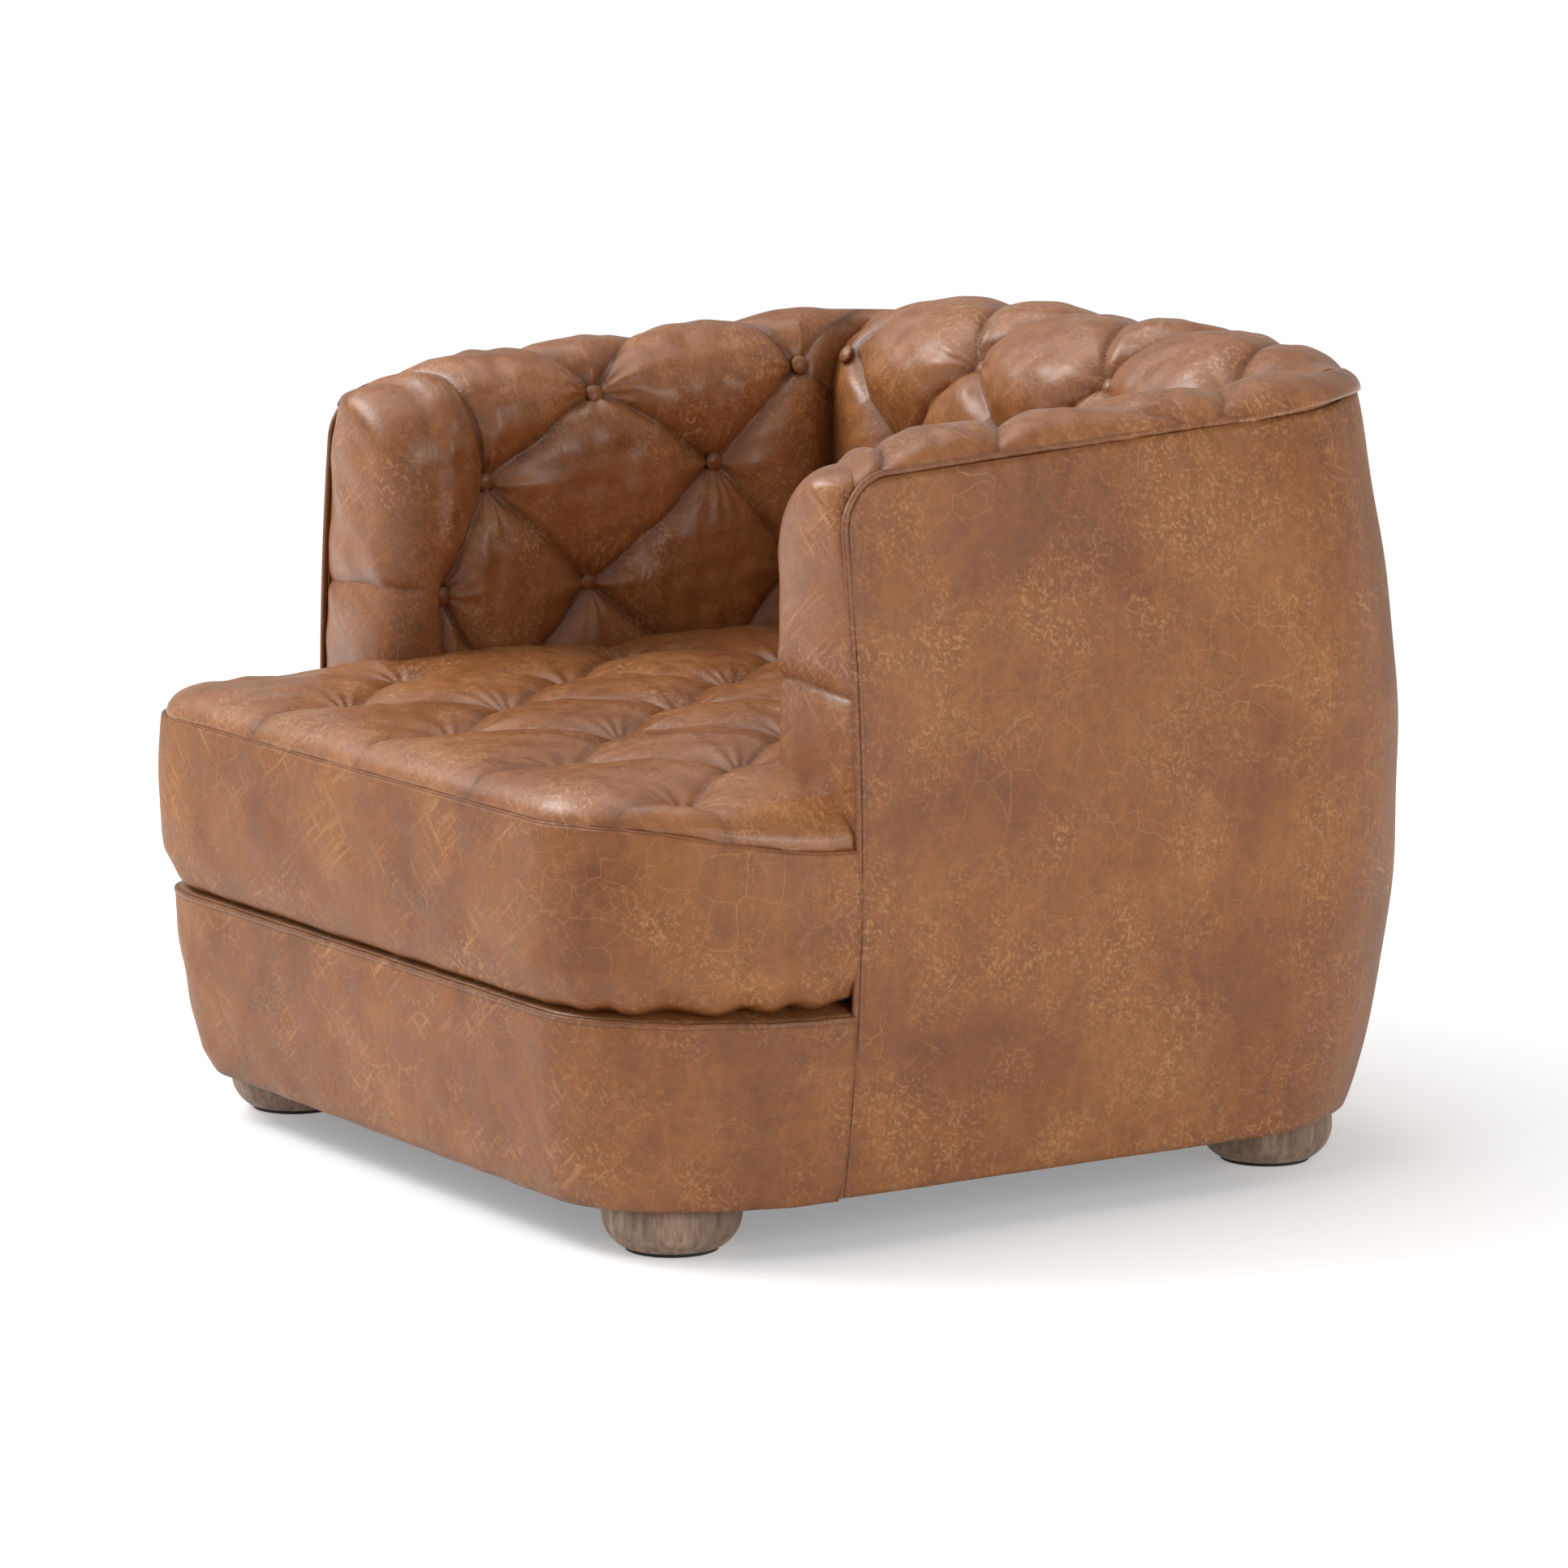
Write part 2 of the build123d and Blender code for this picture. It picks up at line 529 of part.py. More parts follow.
# Each button: where it meets the plain surface of the padding, and which way it faces
CROWN_FACING = (-0.6, 0, 0.8)
CROWN_ROW = 650.0             # rows above this height sit on the turn of the crown
ARM_BUTTONS = []
for height, places in ARM_ROWS.items():
    for y in places:
        if height > CROWN_ROW:
            ARM_BUTTONS.append(((ARM_INSIDE + 24, y, arm_line(ARM_CROWN - 15, y)), CROWN_FACING))
        else:
            ARM_BUTTONS.append(((ARM_INSIDE, y, height), (-1, 0, 0)))
BACK_BUTTONS = [((BACK_BUTTON_SPACING * (n - 1.5), BACK_INSIDE + 5, BACK_HIGH_ROW), (0, -1, 0))
                for n in range(4)]
BACK_BUTTONS += [((BACK_BUTTON_SPACING * n, BACK_INSIDE, BACK_LOW_ROW), (0, -1, 0)) for n in (-1, 0, 1)]

arm_outer = arm_block(0)
arm_inner = arm_block(LEATHER)
for place, direction in ARM_BUTTONS:
    arm_outer = arm_outer - dimple(place, direction, 0)
    arm_inner = arm_inner - dimple(place, direction, LEATHER)
arm_foam = (arm_inner & inner_walls) - arm_piping
for timber in (front_post, arm_top_board, arm_tack_rail, rear_post.part):
    arm_foam = arm_foam - timber
save_pair(arm_foam, "arm_foam")
# The cover is the skin over the crown and down the inside, open where the outside panel closes it
arm_cover = arm_outer - arm_inner - box((ARM_INSIDE + 30, -DEPTH, 0), (WIDTH, DEPTH, ARM_PIPE - 40))
save_pair((arm_cover & outer_body(WALL)) - arm_piping, "inside_arm_cover")

back_outer = back_block(0)
back_inner = back_block(LEATHER)
for place, direction in BACK_BUTTONS:
    back_outer = back_outer - dimple(place, direction, 0)
    back_inner = back_inner - dimple(place, direction, LEATHER)
back_foam = back_inner & inner_walls
for timber in (rear_post.part, mirror(rear_post.part, about=Plane.YZ), back_top_board, back_tack_rail):
    back_foam = back_foam - timber
save(back_foam, "back_foam")
back_cover = back_outer - back_inner - box((-WIDTH, BACK_INSIDE + 30, 0), (WIDTH, WIDTH, BACK_PIPE - 20))
save(back_cover & outer_body(WALL), "inside_back_cover")

# ---------------------------------------------------------------- outside panels
wall_shell = outer_body(0) - outer_body(WALL) - box((-WIDTH, ARM_FRONT - 9, 0), (WIDTH, ARM_FRONT, WIDTH))
wall_shell = wall_shell - box((-BLOCK_R, ARM_FRONT - 9, 0), (BLOCK_R, 0, WIDTH))
side_wall = split(right_of_mitre(wall_shell), bisect_by=PIPE_PLANE, keep=Keep.BOTTOM)
side_wall = side_wall & box((BLOCK_R, ARM_FRONT, 0), (WIDTH, WIDTH, WIDTH))
save_pair(side_wall - arm_piping, "outside_arm_panel")
back_space = box((-RAIL_SIDE, BACK_INSIDE, 0), (RAIL_SIDE, WIDTH, BACK_PIPE - PIPE_R))
save(between_mitres(wall_shell) & back_space, "outside_back_panel")

PANEL_X = ARM_INSIDE + 2
PANEL_SET_IN = 9.0            # its outer edge stops behind the piping
with BuildPart() as arm_front_panel:
    with BuildSketch(Plane.XZ.offset(-ARM_FRONT)):
        with BuildLine():
            panel_top = (half_width(ARM_PIPE) - PANEL_SET_IN, ARM_PIPE)
            panel_foot = (half_width(FRONT_PANEL_BOTTOM) - PANEL_SET_IN, FRONT_PANEL_BOTTOM)
            Line((PANEL_X, FRONT_PANEL_BOTTOM), (PANEL_X, ARM_CROWN - ARM_SHOULDER))
            ThreePointArc((PANEL_X, ARM_CROWN - ARM_SHOULDER), (PANEL_X + 20, ARM_CROWN - 18),
                          (PANEL_X + 68, ARM_CROWN - 2))
            ThreePointArc((PANEL_X + 68, ARM_CROWN - 2), (PANEL_X + 92, ARM_CROWN - 9), panel_top)
            ThreePointArc(panel_top, (half_width(500) - PANEL_SET_IN, 500), panel_foot)
            Line(panel_foot, (PANEL_X, FRONT_PANEL_BOTTOM))
        make_face()
    extrude(amount=WALL)
save_pair(arm_front_panel.part - arm_piping, "arm_front_panel")


# ---------------------------------------------------------------- buttons
def button(place, direction):
    """Domed button that lies on the floor of its dimple."""
    seat_point = Vector(*place) - Vector(*direction) * (DIMPLE_DEPTH - 0.5)
    with BuildPart() as disc:
        with BuildSketch(Plane(origin=seat_point, z_dir=direction)):
            Circle(BUTTON_R)
        extrude(amount=BUTTON_H)
        fillet(disc.edges().sort_by_distance(seat_point)[-1:], radius=BUTTON_H * 0.8)
    return disc.part


with BuildPart() as arm_buttons:
    for place, direction in ARM_BUTTONS:
        add(button(place, direction))
save_pair(arm_buttons.part, "arm_buttons")
with BuildPart() as back_buttons:
    for place, direction in BACK_BUTTONS:
        add(button(place, direction))
save(back_buttons.part, "back_buttons")

# ---------------------------------------------------------------- feet
BOLT_TOP = BLOCK_TOP - 1
BOLT_BOTTOM = 24.0
FOOT_PLACES = {"front_right": (FOOT_X, FOOT_FRONT_Y), "front_left": (-FOOT_X, FOOT_FRONT_Y),
               "rear_right": (FOOT_X, FOOT_REAR_Y), "rear_left": (-FOOT_X, FOOT_REAR_Y)}

with BuildPart() as bun_foot:
    with BuildSketch(Plane.XZ):
        with BuildLine():
            Line((BOLT_R, BOLT_BOTTOM), (0, BOLT_BOTTOM))
            Line((0, BOLT_BOTTOM), (0, GLIDE))
            Line((0, GLIDE), (FOOT_BASE_R, GLIDE))
            ThreePointArc((FOOT_BASE_R, GLIDE), (FOOT_BASE_R + 11, 14), (FOOT_R, FOOT_WIDEST))
            ThreePointArc((FOOT_R, FOOT_WIDEST), (FOOT_R - 5, 52), (FOOT_TOP_R, RAIL_BOTTOM))
            Line((FOOT_TOP_R, RAIL_BOTTOM), (BOLT_R, RAIL_BOTTOM))
            Line((BOLT_R, RAIL_BOTTOM), (BOLT_R, BOLT_BOTTOM))
        make_face()
    revolve(axis=Axis.Z)
for corner, (x, y) in FOOT_PLACES.items():
    save(Pos(x, y, 0) * bun_foot.part, f"{corner}_foot")

foot_points = [(x, y, 0) for x, y in FOOT_PLACES.values()]
with BuildPart() as glides:
    with Locations(*foot_points):
        Cylinder(FOOT_BASE_R - 4, GLIDE, align=(Align.CENTER, Align.CENTER, Align.MIN))
save(glides.part, "foot_glides")

with BuildPart() as hanger_bolts:
    with Locations(*[(x, y, BOLT_BOTTOM) for x, y, _ in foot_points]):
        Cylinder(BOLT_R, BOLT_TOP - BOLT_BOTTOM, align=(Align.CENTER, Align.CENTER, Align.MIN))
save(hanger_bolts.part, "hanger_bolts")

UPRIGHT = (Align.CENTER, Align.CENTER, Align.MIN)
NUT_FLANGE = 2.0
NUT_BARREL = 14.0
with BuildPart() as tee_nuts:
    with Locations(*[(x, y, BLOCK_TOP - NUT_FLANGE) for x, y, _ in foot_points]):
        Cylinder(NUT_FLANGE_R, NUT_FLANGE, align=UPRIGHT)
    with Locations(*[(x, y, BLOCK_TOP - NUT_FLANGE - NUT_BARREL) for x, y, _ in foot_points]):
        Cylinder(NUT_R, NUT_BARREL, align=UPRIGHT)
    with Locations(*[(x, y, BLOCK_TOP - 20) for x, y, _ in foot_points]):
        Cylinder(BOLT_R, 24, align=UPRIGHT, mode=Mode.SUBTRACT)
save(tee_nuts.part, "tee_nuts")

with BuildPart() as dust_cover:
    with BuildSketch(Plane.XY.offset(RAIL_BOTTOM - 1.2)):
        with BuildLine():
            right_edge = [(340, -430), (410, -370), (438, -300), (444, SIDE_RAIL_FRONT),
                          (444, SIDE_RAIL_REAR), (CORNER_CENTRE, 430)]
            left_edge = [(-x, y) for x, y in reversed(right_edge)]
            Polyline(*right_edge, *left_edge, close=True)
        make_face()
        with Locations(*[(x, y) for x, y, _ in foot_points]):
            Circle(FOOT_TOP_R + 3, mode=Mode.SUBTRACT)
    extrude(amount=1.0)
save(dust_cover.part, "dust_cover")
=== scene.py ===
import json
from math import pi, radians, sin, cos

import bpy
import numpy as np
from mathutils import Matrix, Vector


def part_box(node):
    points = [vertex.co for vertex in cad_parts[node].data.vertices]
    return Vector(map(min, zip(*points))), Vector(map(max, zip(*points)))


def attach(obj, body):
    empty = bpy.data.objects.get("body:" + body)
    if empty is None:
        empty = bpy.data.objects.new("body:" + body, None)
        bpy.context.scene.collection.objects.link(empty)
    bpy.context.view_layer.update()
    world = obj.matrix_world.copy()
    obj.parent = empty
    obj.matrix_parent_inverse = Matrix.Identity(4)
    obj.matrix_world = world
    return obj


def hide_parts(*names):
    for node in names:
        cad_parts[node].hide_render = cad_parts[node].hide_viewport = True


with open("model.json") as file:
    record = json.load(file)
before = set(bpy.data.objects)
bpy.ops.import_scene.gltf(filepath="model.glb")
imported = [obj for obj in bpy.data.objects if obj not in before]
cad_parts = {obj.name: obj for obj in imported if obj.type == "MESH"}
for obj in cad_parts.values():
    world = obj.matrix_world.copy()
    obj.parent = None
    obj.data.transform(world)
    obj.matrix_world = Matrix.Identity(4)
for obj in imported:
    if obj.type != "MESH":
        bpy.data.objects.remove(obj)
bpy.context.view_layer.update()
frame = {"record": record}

# ------------------------------------------------------------------ the frame's own measures, metres
WALL_LOW, WALL_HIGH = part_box("right_outside_arm_panel")
HALF = WALL_HIGH[0]
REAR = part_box("outside_back_panel")[1][1]
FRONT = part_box("seat_top_cover")[0][1]
HEM = WALL_LOW[2]
ARM_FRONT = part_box("right_arm_piping")[0][1]
ARM_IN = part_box("right_inside_arm_cover")[0][0]
BACK_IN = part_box("inside_back_cover")[0][1]
BACK_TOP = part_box("inside_back_cover")[1][2]
BORDER_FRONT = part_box("front_border_cover")[0][1]

# ------------------------------------------------------------------ driving dimensions, metres
BELLY = 0.350                  # height where the outside walls stand out furthest
WALL_TOP = 0.700
TUCK = (0.029, 0.032)          # how far the side walls come in at the hem and at the top
REAR_TUCK = (0.0455, 0.040)    # the same for the rear wall
CORNER = 0.218                 # plan centre of the rear corners from the middle
SEAM_ANGLE = radians(50)       # how far round a rear corner its seam lies
ARM_CROWN = 0.713              # top of the arm roll at its front, and its rise per metre
ARM_RISE = 0.0665
ARM_PIPE = 0.688               # the arm's piping at its front, and its rise per metre
PIPE_RISE = 0.062
BACK_PIPE = 0.724
SEAT_SEAM = 0.396
BAND_LOW = 0.236
EAR_BACK = ARM_FRONT - 0.004   # the seat's front corners run back to here
PANEL_THICK = 0.003
ROLL_SHEET = 0.002


def tuck(z, pair):
    low = pair[0] * ((BELLY - z) / (BELLY - HEM)) ** 2
    high = pair[1] * ((z - BELLY) / (WALL_TOP - BELLY)) ** 2
    return np.where(z < BELLY, low, high)


def half_width(z):
    return HALF - tuck(z, TUCK)


def rear_depth(z):
    return REAR - tuck(z, REAR_TUCK)


def wall_point(along, z):
    """Outside wall: along runs from the arm front round the right rear corner to the middle of the back."""
    half, rear = half_width(z), rear_depth(z)
    turn = half - CORNER
    side = rear - turn - ARM_FRONT
    angle = np.clip((along - side) / turn, 0, pi / 2)
    x = CORNER + turn * np.cos(angle) - np.clip(along - side - turn * pi / 2, 0, None)
    y = ARM_FRONT + np.clip(along, 0, side) + turn * np.sin(angle)
    return x, y


def seam_along(z):
    turn = half_width(z) - CORNER
    return rear_depth(z) - turn - ARM_FRONT + turn * SEAM_ANGLE


def middle_along(z):
    turn = half_width(z) - CORNER
    return rear_depth(z) - turn - ARM_FRONT + turn * pi / 2 + CORNER


def ripple(u, v, scale, count=10, seed=1):
    """Smooth irregular waves between about -1 and 1; scale is their usual length."""
    draw = np.random.default_rng(seed)
    total = np.zeros_like(u)
    for _ in range(count):
        angle = draw.uniform(0, 2 * pi)
        k = 2 * pi / (scale * draw.uniform(0.6, 1.7))
        total = total + np.sin(k * (u * cos(angle) + v * sin(angle)) + draw.uniform(0, 2 * pi))
    return total / count ** 0.5 / 1.2


def soft(t):
    t = np.clip(t, 0, 1)
    return t * t * (3 - 2 * t)


# ------------------------------------------------------------------ meshes
def new_object(name, verts, faces):
    mesh = bpy.data.meshes.new(name)
    mesh.from_pydata(verts, [], faces)
    obj = bpy.data.objects.new(name, mesh)
    bpy.context.collection.objects.link(obj)
    return obj


def shade_smooth(mesh):
    mesh.polygons.foreach_set("use_smooth", [True] * len(mesh.polygons))


def grid_mesh(name, points, wear_and_shade=None, wrap=False, thick=0.0, flip=False):
    """Quad mesh through an array of points (rows, columns, 3)."""
    rows, cols = points.shape[:2]
    index = np.arange(rows * cols).reshape(rows, cols)
    right = np.roll(index, -1, axis=1) if wrap else index
    a = index[:-1, :] if wrap else index[:-1, :-1]
    b = right[:-1, :] if wrap else index[:-1, 1:]
    c = right[1:, :] if wrap else index[1:, 1:]
    d = index[1:, :] if wrap else index[1:, :-1]
    quads = np.stack([a, b, c, d], axis=-1).reshape(-1, 4)
    if flip:
        quads = quads[:, ::-1]
    obj = new_object(name, points.reshape(-1, 3).tolist(), quads.tolist())
    mesh = obj.data
    shade_smooth(mesh)
    # Per-point value for the leather colour: paler rubbed places, and painted shade in folds, seams and
    # creases.
    layer = mesh.attributes.new("wear_and_shade", "FLOAT", "POINT")
    wear_and_shade_values = np.zeros(rows * cols) if wear_and_shade is None else wear_and_shade.reshape(-1)
    layer.data.foreach_set("value", wear_and_shade_values.tolist())
    mesh.update()
    if thick:
        shell = obj.modifiers.new("thickness", "SOLIDIFY")
        shell.thickness = thick
        shell.offset = -1
    return obj


def ring_faces(faces, base, rings, around):
    """Quads between rings of points that start at index base, with a cap at each end."""
    for j in range(rings - 1):
        for k in range(around):
            k2 = (k + 1) % around
            faces.append((base + j * around + k, base + j * around + k2,
                          base + (j + 1) * around + k2, base + (j + 1) * around + k))
    faces.append(tuple(base + k for k in reversed(range(around))))
    faces.append(tuple(base + (rings - 1) * around + k for k in range(around)))


def mirrored(points):
    return points * np.array([-1.0, 1.0, 1.0])


def unit(vectors):
    return vectors / np.maximum(np.linalg.norm(vectors, axis=-1, keepdims=True), 1e-9)


def normals(points):
    return unit(np.cross(np.gradient(points, axis=0), np.gradient(points, axis=1)))


TUBE_RING = 14
TUBE_SQUARE = 0.7              # below 1 makes the strip's section squarer than an ellipse


def tube(name, path, tall, wide, up=(0, 0, 1)):
    """Rounded strip along a path: tall is its half size along up, wide its half size across it."""
    path = np.asarray(path)
    along = unit(np.gradient(path, axis=0))
    side = unit(np.cross(along, np.asarray(up, float)))
    lift = np.cross(side, along)
    angle = np.linspace(0, 2 * pi, TUBE_RING, endpoint=False)
    c = np.sign(np.cos(angle)) * np.abs(np.cos(angle)) ** TUBE_SQUARE
    s = np.sign(np.sin(angle)) * np.abs(np.sin(angle)) ** TUBE_SQUARE
    points = (path[:, None] + side[:, None] * (c * wide)[None, :, None]
              + lift[:, None] * (s * tall)[None, :, None])
    return grid_mesh(name, points, wrap=True)


def resample(path, step):
    path = np.asarray(path, float)
    gaps = np.r_[0, np.cumsum(np.linalg.norm(np.diff(path, axis=0), axis=1))]
    stations = np.linspace(0, gaps[-1], max(2, int(gaps[-1] / step)))
    return np.stack([np.interp(stations, gaps, path[:, i]) for i in range(3)], axis=1)


STITCH_PITCH, STITCH_LENGTH, STITCH_R = 0.0065, 0.0046, 0.0006
STITCH_RING = 6
STITCH_SHAPE = ((-0.5, 0.35), (-0.3, 1.0), (0.3, 1.0), (0.5, 0.35))   # share of length, share of radius


def stitches(name, path, outward):
    """Row of sewn stitches lying on a surface along a path."""
    path = resample(path, STITCH_PITCH)
    verts, faces = [], []
    for centre, direction in zip(path, unit(np.gradient(path, axis=0))):
        side = unit(np.cross(direction, np.asarray(outward, float)))
        lift = np.cross(side, direction)
        ring_faces(faces, len(verts), len(STITCH_SHAPE), STITCH_RING)
        for t, r in STITCH_SHAPE:
            for k in range(STITCH_RING):
                a = 2 * pi * k / STITCH_RING
                verts.append(centre + direction * STITCH_LENGTH * t
                             + (side * cos(a) + lift * sin(a)) * STITCH_R * r)
    return new_object(name, [tuple(v) for v in verts], faces)


# ------------------------------------------------------------------ tufting
FOLD_WOBBLE = 0.002
PULL_REACH = 0.030             # how far a button gathers the leather round it
GATHER = 0.0024
UNEVEN = 0.0011


def tufted(a, s, buttons, folds, size, fold_depth, button_depth, seed):
    """Depth below the plain surface, and a value for each point: higher on rubbed tops, lower where painted
    shade lies in the folds and round the buttons.
    """
    near = np.full(a.shape, 1.0)
    for (a0, s0), (a1, s1) in folds:
        da, ds = a1 - a0, s1 - s0
        t = np.clip(((a - a0) * da + (s - s0) * ds) / (da * da + ds * ds), 0, 1)
        wobble = FOLD_WOBBLE * np.sin(a * 60 + s * 41 + seed)
        near = np.minimum(near, np.hypot(a - a0 - t * da + wobble, s - s0 - t * ds))
    button = np.full(a.shape, 1.0)
    swirl = np.zeros_like(a)
    for number, (ab, sb) in enumerate(buttons):
        gap = np.hypot(a - ab, s - sb)
        turn = np.arctan2(s - sb, a - ab)
        reach = np.exp(-gap / PULL_REACH) * soft(gap / 0.016)
        swirl = swirl + reach * np.sin(turn * 11 + number * 2.1 + 3 * np.sin(turn * 2 + number))
        button = np.minimum(button, gap)
    dome = np.sqrt(1 - (1 - np.clip(near / size, 0, 1)) ** 2)
    pull = np.exp(-(button / PULL_REACH) ** 1.25)
    depth = fold_depth * (1 - dome) * (1 - 0.3 * soft((button - 0.05) / 0.06))
    depth = depth + (button_depth - fold_depth) * pull
    depth = depth + GATHER * swirl + UNEVEN * ripple(a, s, 0.045, seed=seed) * dome
    # Rubbed tops are paler; painted shade darkens the folds and the dimples round the buttons.
    wear_and_shade = 0.75 * soft(dome) - 0.75 * np.exp(-near / 0.0035) - 0.5 * np.exp(-button / 0.014)
    return depth, wear_and_shade


def section(thick, top_at, base, shoulder, crown, pipe, count):
    """Roll-over section: (fraction from inside face to piping, height, arc length) at even steps."""
    a = np.linspace(0, pi / 2, 40)
    across = np.r_[0, top_at * (1 - np.cos(a)), top_at + (1 - top_at) * np.sin(a)[1:]]
    height = np.r_[base, crown - shoulder + shoulder * np.sin(a), pipe + (crown - pipe) * np.cos(a)[1:]]
    length = np.r_[0, np.cumsum(np.hypot(np.diff(across) * thick, np.diff(height)))]
    even = np.linspace(0, length[-1], count)
    return np.interp(even, length, across), np.interp(even, length, height), even


ROLL_BASE = 0.375              # the rolls start here, hidden by the seat
PANEL_GAP = 0.004              # the rolls end this far inside the outside panels
PUFF = 0.006                   # the padding stands this far proud between its folds
CREST_AT_MITRE = 0.752         # crown and piping where the arm meets the back
PIPE_AT_MITRE = 0.728
CREASE_LAP = 0.040             # the arm and back surfaces run on past their shared crease
CREASE_FADE = 0.022
CREASE_SINK = 0.012
TUFTING_ENDS = 0.030           # the tufting dies away this close to the crease


def crease_depth(before, across):
    """Both surfaces sink towards their shared crease and dive under each other past it."""
    inside = soft((0.85 - across) / 0.5)
    sink = CREASE_SINK * np.exp(-np.abs(before) / CREASE_FADE)
    return inside * np.where(before > 0, sink, CREASE_SINK - 0.45 * before)


def into_crease(depth, before, across):
    """Let the tufting die away near the crease and sink into it."""
    near_end = np.exp(-(np.clip(before, 0, None) / TUFTING_ENDS) ** 2)
    return depth * (1 - near_end) + crease_depth(before, across)


# ------------------------------------------------------------------ arms
ARM_SHOULDER = 0.078
ARM_TOP_AT = 0.60
ARM_THICK = half_width(ARM_PIPE) - PANEL_GAP - ARM_IN
EDGE_R = 0.042                 # rounding of the arm's inner front edge
TOP_EDGE_R = 0.012             # rounding of the front edge over the top of the roll
CORNER_R = 0.046               # the outside panel's rounded top front corner
CORNER_SEAM = CORNER_R * (1 - cos(pi / 4))   # the top seam starts half way round that corner
ARM_SEAM = 0.503               # height of the seam across the arm's front
ARM_COLS, ARM_ROWS = 230, 190
ARM_FRONT_COLS = 70
# Button places on the arm: (distance behind the arm front, arc length up from the roll's base)
ARM_BUTTONS = [(0.239, 0.318), (0.476, 0.326), (0.106, 0.228), (0.377, 0.232), (0.231, 0.119),
               (0.472, 0.119), (0.021, 0.119)]
ARM_HIDDEN = [(0.110, 0.010), (0.350, 0.010)]   # pinches under the seat
ARM_PAST_MITRE = (0.60, 0.235)                  # a pinch that would lie behind the crease


def arm_stations(count):
    """Inside and outside plan points along the arm, from its front to the mitre."""
    run_in = np.linspace(0, BACK_IN + CREASE_LAP - ARM_FRONT, count)
    total = seam_along(ARM_PIPE + 0.03) + 0.003
    run_out = np.interp(run_in, [0, 0.55 * run_in[-1], run_in[-1]],
                        [CORNER_SEAM, 0.55 * run_in[-1] + 0.004, total])
    inside = np.stack([np.full(count, ARM_IN), ARM_FRONT + run_in], axis=1)
    x, y = wall_point(run_out, np.full(count, ARM_PIPE))
    return run_in, inside, np.stack([x - PANEL_GAP * (x > 0.3), y], axis=1)


def corner_drop(distance):
    """How far the piping has come down at a distance behind the arm's front edge."""
    short = np.clip(CORNER_R - distance, 0, CORNER_R)
    return CORNER_R - np.sqrt(CORNER_R ** 2 - short ** 2)


def arm_heights(y):
    back = max(0.0, float(y - ARM_FRONT))
    crown = ARM_CROWN + ARM_RISE * back - 0.004 * soft((y - 0.1) / 0.2) - 0.020 * np.exp(-back / 0.045)
    return crown, ARM_PIPE + PIPE_RISE * back - corner_drop(back)


def arm_section(crown, pipe):
    return section(ARM_THICK, ARM_TOP_AT, ROLL_BASE, ARM_SHOULDER, crown, pipe, ARM_ROWS)


def arm_front():
    """Front of the right arm: flat behind the piping, rounding off to the inside edge."""
    crown, pipe = arm_heights(ARM_FRONT + CORNER_SEAM)
    across, height, _ = arm_section(crown, pipe)
    inner_x = ARM_IN + across * (half_width(pipe) - PANEL_GAP - ARM_IN)
    outer_z = ROLL_BASE + (pipe - ROLL_BASE) * np.linspace(0, 1, ARM_ROWS) ** 0.9
    outer_x = half_width(outer_z) - 0.005
    above = np.clip(outer_z - (ARM_PIPE - CORNER_R), 0, CORNER_R * sin(pi / 4))
    outer_y = CORNER_R - np.sqrt(CORNER_R ** 2 - above ** 2)
    w = np.linspace(0, 1, ARM_FRONT_COLS)
    gap = np.hypot(outer_x - inner_x, outer_z - height)
    points = np.zeros((ARM_ROWS, ARM_FRONT_COLS, 3))
    for i in range(ARM_ROWS):
        r = EDGE_R * (1 - across[i]) + TOP_EDGE_R * sin(pi * across[i])
        rounded = min(0.45, r / max(gap[i], 1e-4))
        angle = np.clip(w / max(rounded, 1e-4), 0, 1) * pi / 2
        flat = np.clip((w - rounded) / (1 - rounded), 0, 1)
        pos = np.where(w < rounded, rounded * (1 - np.cos(angle)), rounded + flat * (1 - rounded))
        points[i, :, 0] = inner_x[i] + (outer_x[i] - inner_x[i]) * pos
        points[i, :, 2] = height[i] + (outer_z[i] - height[i]) * pos
        start = r + CORNER_SEAM * across[i]
        swell = 0.011 * np.sin(pi * w) ** np.where(w < 0.5, 0.8, 0.45) * min(1, gap[i] / 0.08)
        points[i, :, 1] = (ARM_FRONT + start * (1 - np.sin(angle)) * (1 - pos)
                           + outer_y[i] * pos - swell)
    x, z = points[..., 0], points[..., 2]
    seam = np.abs(z - ARM_SEAM - 0.004 * np.sin((x - ARM_IN) * 30))
    pinch = np.exp(-seam / 0.010) * soft(w / 0.10)
    points[..., 1] += 0.006 * pinch + 0.0015 * ripple(x, z, 0.05, seed=9) * soft(w / 0.2)
    # The front is paler overall; painted shade darkens the pinched seam across it.
    wear_and_shade = 0.5 - 1.2 * np.exp(-seam / 0.0035) * soft(w / 0.10)
    return points.transpose(1, 0, 2)[::-1], wear_and_shade.T[::-1]


def arm_folds(end):
    """Fold lines between the arm's buttons and out to the piping, which lies at arc length end."""
    top_front, top_rear, mid_front, mid_rear, low_mid, low_rear, low_front = ARM_BUTTONS
    hidden_front, hidden_rear = ARM_HIDDEN
    return [(top_front, mid_front), (top_front, mid_rear), (top_rear, mid_rear),
            (mid_front, low_front), (mid_front, low_mid), (mid_rear, low_mid), (mid_rear, low_rear),
            (top_rear, ARM_PAST_MITRE), (low_rear, ARM_PAST_MITRE),
            (top_front, (0.148, end)), (top_front, (0.345, end)),
            (top_rear, (0.375, end)), (top_rear, (0.520, end)), (mid_front, (0.030, end - 0.03)),
            (low_front, hidden_front), (low_mid, hidden_front), (low_mid, hidden_rear),
            (low_rear, hidden_rear), (low_front, (0.021, 0.02))]


